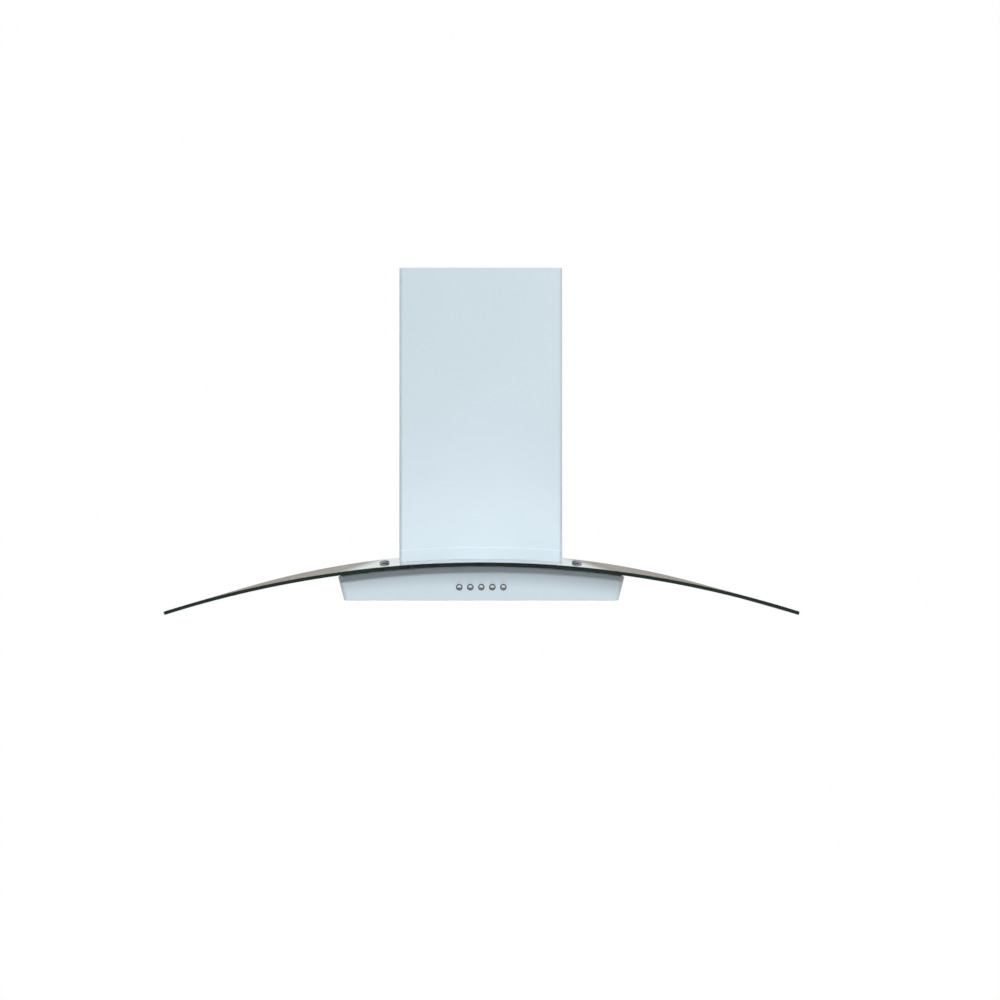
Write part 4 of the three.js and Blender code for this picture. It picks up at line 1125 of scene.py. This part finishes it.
# Chromium plate on the buffed caps and lamp rims: nearly a mirror, with faint smears 6 mm wide.
chrome, tree, shader, place = material("polished_chromium_plate", "#DDE0E2", 0.08, 1.0)
smear = node(tree, "ShaderNodeTexNoise", {"Vector": place, "Scale": 1 / (6 * mm), "Detail": 3.0})
sheen = node(tree, "ShaderNodeMapRange", {"Value": smear.outputs["Fac"], "To Min": 0.05, "To Max": 0.12})
tree.links.new(sheen.outputs["Result"], shader.inputs["Roughness"])

button_radius = 4.5 * mm
button_cap = 3.5 * mm
button_rim = 1.4 * mm  # how far the skirt stands proud
button_proud = 3.4 * mm
plunger_radius = 3 * mm
skirt_end, plunger_end = body_front + 10 * mm, body_front + 22 * mm
rim_level = body_front - button_rim
crown_turns = [radians(90 * k / 10) for k in range(11)]
crown = [(button_cap * sin(a), rim_level - (button_proud - button_rim) * cos(a)) for a in crown_turns]
for word, seat in zip(("lamp", "off", "low", "medium", "high"), button_seats):
    cap = turned([*crown, (button_cap, body_front), (0, body_front)], 56, seat)
    piece(f"push_button_{word}", cap, chrome, f"{word}_button", "chrome_button")
    skirt = turned([
        (button_cap - 0.1 * mm, rim_level + 0.15 * mm), (button_cap + 0.05 * mm, rim_level),
        (button_radius - 0.15 * mm, rim_level), (button_radius, rim_level + 0.15 * mm),
        (button_radius, skirt_end - 0.4 * mm), (button_radius - 0.4 * mm, skirt_end),
        (plunger_radius, skirt_end), (plunger_radius, plunger_end - 0.4 * mm),
        (plunger_radius - 0.4 * mm, plunger_end), (0, plunger_end), (0, body_front + 0.2 * mm),
        (button_cap - 0.1 * mm, body_front + 0.2 * mm),
    ], 56, seat, closed=True)
    piece(f"button_skirt_{word}", skirt, black_abs, f"{word}_button", "black_plastic", f"button_{word}")
finish_node("switch_block", black_abs)
finish_node("control_box", white_polypropylene)

# Circuit board: green solder resist over woven glass fibre; copper fields of 9 by 3 mm with gaps
# of 0.4 mm show through it in two greens.
circuit_board, tree, shader, place = material("solder_resist_on_glass_fibre", "#2E5A3D", 0.35, IOR=1.5)
tracks = node(tree, "ShaderNodeTexBrick", {
    "Vector": place, "Scale": 1.0, "Brick Width": 9 * mm, "Row Height": 3 * mm, "Mortar Size": 0.4 * mm,
    "Color1": colour("#2E5A3D"), "Color2": colour("#356646"), "Mortar": colour("#4F7F56"),
})
tree.links.new(tracks.outputs["Color"], shader.inputs["Base Color"])
finish_node("control_board", circuit_board)

# ---------------------------------------------------------------------------------------------
# Bottom panel: a flat powder-coated sheet on the body's lip, with bays for two filters and
# holes for two lamps.
# ---------------------------------------------------------------------------------------------

panel_low, panel_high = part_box("bottom_panel")
filter_xs = (7 * mm, 167 * mm)
filter_ys = (-288 * mm, -52 * mm)
lamp_x, lamp_y = 140 * mm, -340 * mm
lamp_radius = 29 * mm
bays, lamp_holes = [], []
for way in (-1, 1):
    bay_xs = sorted((way * filter_xs[0], way * filter_xs[1]))
    bays.append(rounded(rectangle(*bay_xs, *filter_ys), 0.8 * mm, 3))
    lamp_holes.append(circle((way * lamp_x, lamp_y), lamp_radius + touching, 60))
panel_outline = rectangle(panel_low.x, panel_high.x, panel_low.y, panel_high.y)
panel = slab(
    rounded(panel_outline, [6.8 * mm, 6.8 * mm, 1 * mm, 1 * mm], 6), panel_low.z, panel_high.z, plan,
    bays + lamp_holes,
)
piece("underside_panel", softened(panel, 0.25 * mm, 2), powder_coat, "hood", "white_paint", "bottom_panel")

# ---------------------------------------------------------------------------------------------
# Grease filters: two cassettes with a mitred aluminium frame, layers of expanded aluminium
# mesh, and a pull handle; they swing down on two tabs at the back and are held by a leaf.
# ---------------------------------------------------------------------------------------------

# Anodised aluminium: satin silver, with rolling lines 0.3 mm apart along each bar.
anodised, tree, shader, place = material("anodised_aluminium", "#C3C7C9", 0.34, 1.0)
stretch = node(tree, "ShaderNodeMapping", {
    "Vector": place, "Scale": (1 / (0.3 * mm), 1 / (60 * mm), 1 / (0.3 * mm)),
})
lines = node(tree, "ShaderNodeTexNoise", {"Vector": stretch.outputs["Vector"], "Scale": 1.0, "Detail": 2.0})
sheen = node(tree, "ShaderNodeMapRange", {"Value": lines.outputs["Fac"], "To Min": 0.26, "To Max": 0.44})
tree.links.new(sheen.outputs["Result"], shader.inputs["Roughness"])

# Expanded aluminium: bright foil, slit and stretched, dulled in patches of 4 mm by handling. The
# pack behind the outer layers is drawn as crossing strands 2.4 mm apart, with painted shade in the
# gaps between them.
expanded_foil, tree, shader, place = material("expanded_aluminium_foil", "#D6D8D9", 0.3, 1.0)
dull = node(tree, "ShaderNodeTexNoise", {"Vector": place, "Scale": 1 / (4 * mm), "Detail": 4.0})
sheen = node(tree, "ShaderNodeMapRange", {"Value": dull.outputs["Fac"], "To Min": 0.2, "To Max": 0.45})
tree.links.new(sheen.outputs["Result"], shader.inputs["Roughness"])
mesh_pack, tree, shader, place = material("stacked_expanded_aluminium", "#A9ACAE", 0.45, 0.35)
strands = node(tree, "ShaderNodeTexVoronoi", {
    "Vector": place, "Scale": 1 / (2.4 * mm),
}, feature="DISTANCE_TO_EDGE")
# painted shade: the gaps between the strands go dark grey, as the pack's hollows would in shade
depth = node(tree, "ShaderNodeMapRange", {"Value": strands.outputs["Distance"], "From Max": 0.18})
shade = node(tree, "ShaderNodeMix", {
    "Factor": depth.outputs["Result"], 6: colour("#C6C9CB"), 7: colour("#5E6163"),
}, data_type="RGBA")
tree.links.new(shade.outputs[2], shader.inputs["Base Color"])
hollows = node(tree, "ShaderNodeBump", {
    "Height": strands.outputs["Distance"], "Distance": 0.8 * mm, "Strength": 1.0,
}, invert=True)
tree.links.new(hollows.outputs["Normal"], shader.inputs["Normal"])

frame_bar = 12 * mm
frame_seat = 3 * mm
frame_gap = 0.6 * mm
frame_top = body_bottom + 9 * mm
tab_wide, tab_reach = 16 * mm, 5 * mm
diamond_long = 10 * mm
diamond_short = 6 * mm
strand = 0.72 * mm
foil = 0.35 * mm
foil_twist = 0.08 * mm  # every other row of strands sits this much higher or lower


def mitred(x0, x1, y0, y1, profile):
    """A rectangular frame: one bar section, [in from the edge, height], carried round four mitres."""
    points = []
    for d, z in profile:
        points += [(x0 + d, y0 + d, z), (x1 - d, y0 + d, z), (x1 - d, y1 - d, z), (x0 + d, y1 - d, z)]
    count = len(profile)
    faces = []
    for i in range(count):
        a, b = 4 * i, 4 * ((i + 1) % count)
        faces += [(a + k, a + (k + 1) % 4, b + (k + 1) % 4, b + k) for k in range(4)]
    return from_faces(points, faces)


def expanded_layer(x0, x1, y0, y1, z, shift):
    """One sheet of expanded metal: zigzag strands that meet at the diamonds' short corners."""
    rows = []
    steps = round((x1 - x0) / (diamond_long / 2))
    pitch = (x1 - x0) / steps
    count = int((y1 - y0) / (diamond_short / 2))
    for row in range(count):
        middle = y0 + (row + 0.5) * (y1 - y0) / count
        path = []
        for k in range(steps + 1):
            swing = diamond_short / 4 * (1 if (k + row + shift) % 2 else -1)
            path.append((x0 + k * pitch, middle + swing))
        base = z + (foil_twist if row % 2 else -foil_twist)
        rows.append(strip(path, strand, base, base + foil))
    return joined(*rows)


for way, word in ((-1, "left"), (1, "right")):
    body = f"{word}_filter"
    x0, x1 = sorted((way * filter_xs[0], way * filter_xs[1]))
    x0, x1 = x0 + frame_gap, x1 - frame_gap
    y0, y1 = filter_ys[0] + frame_gap, filter_ys[1] - frame_gap
    section = rounded([
        (0, body_bottom), (frame_bar, body_bottom), (frame_bar, body_bottom + 1 * mm),
        (frame_bar - frame_seat, body_bottom + 1 * mm), (frame_bar - frame_seat, frame_top), (0, frame_top),
    ], [1.2 * mm, 0.4 * mm, 0.4 * mm, 0.2 * mm, 0.6 * mm, 0.8 * mm], 3)
    bars = mitred(x0, x1, y0, y1, section)
    tab_low = panel_high.z + touching
    tab_y0, tab_y1 = y1 - frame_bar + frame_seat, y1 + frame_gap + tab_reach
    tabs = []
    for x in (x0 + frame_bar, x1 - frame_bar - tab_wide):
        outline = rounded(rectangle(x, x + tab_wide, tab_y0, tab_y1), [0, 0, 1.5 * mm, 1.5 * mm])
        tabs.append(softened(slab(outline, tab_low, tab_low + 1 * mm), 0.2 * mm, 1))
    piece(f"filter_bars_{word}", joined(bars, *tabs), anodised, body, "aluminium", f"filter_frame_{word}")

    inset = frame_bar - frame_seat + touching
    area = (x0 + inset, x1 - inset, y0 + inset, y1 - inset)
    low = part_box(f"filter_mesh_{word}")[0].z
    layers = joined(*[
        expanded_layer(*area, low + level, shift)
        for level, shift in ((0.15 * mm, 0), (0.85 * mm, 1), (5.5 * mm, 0))
    ])
    piece(f"filter_outer_mesh_{word}", layers, expanded_foil, body, "filter_mesh")
    pack = softened(slab(rectangle(*area), low + 1.5 * mm, low + 5.2 * mm), 0.5 * mm, 2)
    piece(f"filter_mesh_pack_{word}", pack, mesh_pack, body, "filter_mesh", f"filter_mesh_{word}")

    handle_low, handle_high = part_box(f"filter_handle_{word}")
    handle_low.z += 1.2 * mm  # the bow is this much shallower than its solid
    handle_path = rounded([
        (handle_low.x, handle_high.z), (handle_low.x, handle_low.z), (handle_high.x, handle_low.z),
        (handle_high.x, handle_high.z),
    ], 3.5 * mm, 6, closed=False)
    handle = strip(handle_path, 2 * mm, handle_low.y, handle_high.y, front)
    piece(
        f"pull_handle_{word}", softened(handle, 0.6 * mm, 3), zinc_steel, body, "bright_steel",
        f"filter_handle_{word}",
    )
    finish_node(f"filter_clip_{word}", zinc_steel)

# ---------------------------------------------------------------------------------------------
# Lamps: two flush housings of chromed steel with a frosted polycarbonate lens over the lamp
# unit, let into the front of the panel.
# ---------------------------------------------------------------------------------------------

# Frosted polycarbonate: milky, smooth outside, with moulded pearls of 1.6 mm inside.
frosted_polycarbonate, tree, shader, place = material(
    "frosted_polycarbonate", "#F6F8F8", 0.35, IOR=1.585, Transmission_Weight=0.2,
)
pearls = node(tree, "ShaderNodeTexVoronoi", {"Vector": place, "Scale": 1 / (1.6 * mm)})
bumps = node(tree, "ShaderNodeBump", {
    "Height": pearls.outputs["Distance"], "Distance": 0.12 * mm, "Strength": 0.7,
})
tree.links.new(bumps.outputs["Normal"], shader.inputs["Normal"])

housing_wall = 1.2 * mm
lens_low = body_bottom + touching
ledge_level = lens_low + 2.7 * mm
flange_level = panel_low.z - touching
rim_outer, rim_inner = lamp_radius + 5 * mm, lamp_radius - housing_wall
for way, word in ((-1, "left"), (1, "right")):
    lamp_at = upright_at(way * lamp_x, lamp_y)
    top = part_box(f"lamp_housing_{word}")[1].z
    housing = turned([
        (0, top), (lamp_radius - 1 * mm, top), (lamp_radius, top - 1 * mm), (lamp_radius, flange_level),
        (rim_outer, flange_level), (rim_outer, body_bottom + 0.5 * mm), (rim_outer - 0.5 * mm, body_bottom),
        (rim_inner + 1 * mm, body_bottom), (rim_inner, body_bottom + 0.7 * mm), (rim_inner, ledge_level),
        (rim_inner - 2 * mm, ledge_level), (22 * mm, top - housing_wall), (0, top - housing_wall),
    ], 72, lamp_at)
    piece(f"lamp_shell_{word}", housing, chrome, "hood", "bright_steel", f"lamp_housing_{word}")
    glazing = turned([
        (0, lens_low + 0.1 * mm), (rim_inner - 1.2 * mm, lens_low + 0.1 * mm),
        (rim_inner - touching, lens_low + 0.8 * mm), (rim_inner - touching, lens_low + 2.4 * mm),
        (0, lens_low + 2.4 * mm),
    ], 64, lamp_at)
    piece(f"lamp_glazing_{word}", glazing, frosted_polycarbonate, "hood", "frosted_lens", f"lamp_lens_{word}")
    finish_node(f"lamp_bulb_{word}", white_polypropylene)

# ---------------------------------------------------------------------------------------------
# Studio: a pale floor far below and a white room, whose mirrored walls are a warm grey up to the
# hood's height. A small key light in front stands a little above the glass and throws the shadow
# under it, and large softboxes fill in from in front, both sides, behind and below.
# ---------------------------------------------------------------------------------------------


def unscattered(tree):
    """What the camera sees straight or through glass, and what it sees mirrored, each 1 or 0."""
    ray = node(tree, "ShaderNodeLightPath").outputs
    math, through = "ShaderNodeMath", ray["Is Transmission Ray"]
    first = node(tree, math, {0: ray["Diffuse Depth"], 1: 0.5}, operation="LESS_THAN").outputs[0]
    seen = node(tree, math, {0: ray["Is Camera Ray"], 1: through}, operation="MAXIMUM").outputs[0]
    seen = node(tree, math, {0: seen, 1: first}, operation="MULTIPLY").outputs[0]
    gloss = node(tree, math, {0: ray["Is Glossy Ray"], 1: through}, operation="GREATER_THAN").outputs[0]
    mirrored = node(tree, math, {0: gloss, 1: first}, operation="MULTIPLY").outputs[0]
    return seen, mirrored


# The floor looks white to the camera and through the glass. Mirrored, it shows a painted
# reflection: pale behind the hood and dark in front of it, as a counter there would be; otherwise
# it is a plain pale grey.
pale_floor = bpy.data.materials.new("pale_floor")
pale_floor.use_nodes = True
tree = pale_floor.node_tree
seen, mirrored = unscattered(tree)
glow = node(tree, "ShaderNodeEmission", {"Color": (1, 1, 1, 1), "Strength": 1.0})
shader = tree.nodes["Principled BSDF"]
shader.inputs["Base Color"].default_value = colour("#BCBCBA")
shader.inputs["Roughness"].default_value = 0.9
position = node(tree, "ShaderNodeNewGeometry").outputs["Position"]
along_y = node(tree, "ShaderNodeSeparateXYZ", {0: position}).outputs["Y"]
behind = node(tree, "ShaderNodeMapRange", {"Value": along_y, "From Min": -1.2, "From Max": -0.5}).outputs[0]
# painted reflection: dark grey in front of the hood, pale behind it, seen only in mirrored rays
mirrored_floor_shade = node(tree, "ShaderNodeMix", {
    0: behind, 6: colour("#6E7072"), 7: colour("#D2D0CB"),
}, data_type="RGBA")
mirror = node(tree, "ShaderNodeEmission", {"Color": mirrored_floor_shade.outputs[2], "Strength": 1.0})
blend = node(tree, "ShaderNodeMixShader", {0: seen, 1: shader.outputs[0], 2: glow.outputs[0]})
blend = node(tree, "ShaderNodeMixShader", {0: mirrored, 1: blend.outputs[0], 2: mirror.outputs[0]})
tree.links.new(blend.outputs[0], tree.nodes["Material Output"].inputs["Surface"])
floor_half, floor_level = 7, -1.65
board = bpy.data.meshes.new("studio_floor")
corners = [(x, y, floor_level) for x, y in rectangle(-floor_half, floor_half, -floor_half, floor_half)]
board.from_pydata(corners, [], [(0, 1, 2, 3)])
board.materials.append(pale_floor)
floor = bpy.data.objects.new("studio_floor", board)
bpy.context.scene.collection.objects.link(floor)
floor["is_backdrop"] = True

# The room is white to the camera and lights the hood evenly and faintly. Mirrored, its walls are
# grey below the horizon and turn white just above it.
room = bpy.data.worlds.new("white_room")
bpy.context.scene.world = room
room.use_nodes = True
tree = room.node_tree
seen, mirrored = unscattered(tree)
ramp_half = 0.3  # the ramp runs from this far below the horizon to this far above it
direction = node(tree, "ShaderNodeTexCoord").outputs["Generated"]
height = node(tree, "ShaderNodeSeparateXYZ", {0: direction}).outputs["Z"]
level = node(tree, "ShaderNodeMapRange", {"Value": height, "From Min": -ramp_half, "From Max": ramp_half})
walls = node(tree, "ShaderNodeValToRGB", {"Fac": level.outputs[0]})
walls.color_ramp.elements[0].color = colour("#C9C6C0")
for z, code in (
    (-0.09, "#B4B0A8"), (-0.02, "#A49F97"), (0.01, "#A6A29A"), (0.016, "#E6ECEC"), (0.04, "#FFFFFF"),
):
    walls.color_ramp.elements.new(z / (2 * ramp_half) + 0.5).color = colour(code)
plain = node(tree, "ShaderNodeBackground", {"Color": (1, 1, 1, 1), "Strength": 1.0})
ambient = node(tree, "ShaderNodeBackground", {"Color": (1, 1, 1, 1), "Strength": 0.07})
mirror = node(tree, "ShaderNodeBackground", {"Color": walls.outputs["Color"], "Strength": 1.0})
lit = node(tree, "ShaderNodeMixShader", {0: seen, 1: ambient.outputs[0], 2: plain.outputs[0]})
lit = node(tree, "ShaderNodeMixShader", {0: mirrored, 1: lit.outputs[0], 2: mirror.outputs[0]})
tree.links.new(lit.outputs[0], tree.nodes["World Output"].inputs["Surface"])

through_glass = bpy.data.collections.new("no_shadow_from_the_glass")
through_glass.objects.link(pane)
through_glass.collection_objects[0].light_linking.link_state = "EXCLUDE"


def softbox(name, wide, tall, watts, place, target=(0, -0.2, 0.1), clear=True):
    """An area light that doesn't show itself; `clear` ones shine through the glass."""
    light = bpy.data.lights.new(name, "AREA")
    light.shape = "RECTANGLE"
    light.size, light.size_y = wide, tall
    light.energy = watts
    made = bpy.data.objects.new(name, light)
    made.location = place
    made.rotation_mode = "QUATERNION"
    made.rotation_quaternion = (Vector(target) - Vector(place)).to_track_quat("-Z", "Y")
    made.visible_camera = made.visible_transmission = made.visible_glossy = False
    if clear:
        made.light_linking.blocker_collection = through_glass
    bpy.context.scene.collection.objects.link(made)
    return made


body_face = (0, -0.4, 0)
softbox("key", 0.2, 0.2, 52, (-0.5, -4.2, 0.8), body_face, clear=False)
softbox("front_fill", 1.6, 1.3, 69, (1.0, -4.2, 1.52), body_face, clear=False)
softbox("left_fill", 1.8, 1.8, 45, (-3.0, 1.6, 1.2))
softbox("right_fill", 1.8, 1.8, 45, (3.0, 1.6, 1.2))
softbox("rear_fill", 2.0, 2.0, 60, (0.8, 3.2, 1.8))
softbox("low_fill", 1.6, 1.6, 17, (0, -0.6, -1.6))

# The pane mirrors the front lights up onto the chimney's foot, which path tracing leaves out.
chimney_only = bpy.data.collections.new("lit_by_the_glass")
for name in ("chimney_cover", "chimney_foot_band", "seam_bead"):
    chimney_only.objects.link(bpy.data.objects[name])
for name, tall, watts, y, z in (
    ("light_off_the_glass", 60 * mm, 0.43, -380 * mm, -40 * mm),
    ("light_off_the_glass_near", 20 * mm, 0.051, -335 * mm, -20 * mm),
):
    off_the_glass = softbox(name, 0.36, tall, watts, (0, y, z), (0, chimney_front, 0))
    off_the_glass.light_linking.receiver_collection = chimney_only
    off_the_glass.light_linking.blocker_collection = chimney_only

# The camera stands in front of the hood, a little left of its middle and just above the glass. Its
# shift sets the hood in the frame without tilting the chimney's edges.
lens = bpy.data.cameras.new("camera")
lens.sensor_width, lens.lens = 36, 43.9  # in mm
lens.shift_x, lens.shift_y = 0.029, 0.0212
camera = bpy.data.objects.new("camera", lens)
camera.location = (-0.015, -2.167, 0.058)
camera.rotation_euler = (pi / 2, 0, 0)
bpy.context.scene.collection.objects.link(camera)
bpy.context.scene.camera = camera
bpy.context.scene.view_settings.view_transform = "Standard"

bpy.context.view_layer.update()
low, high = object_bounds()
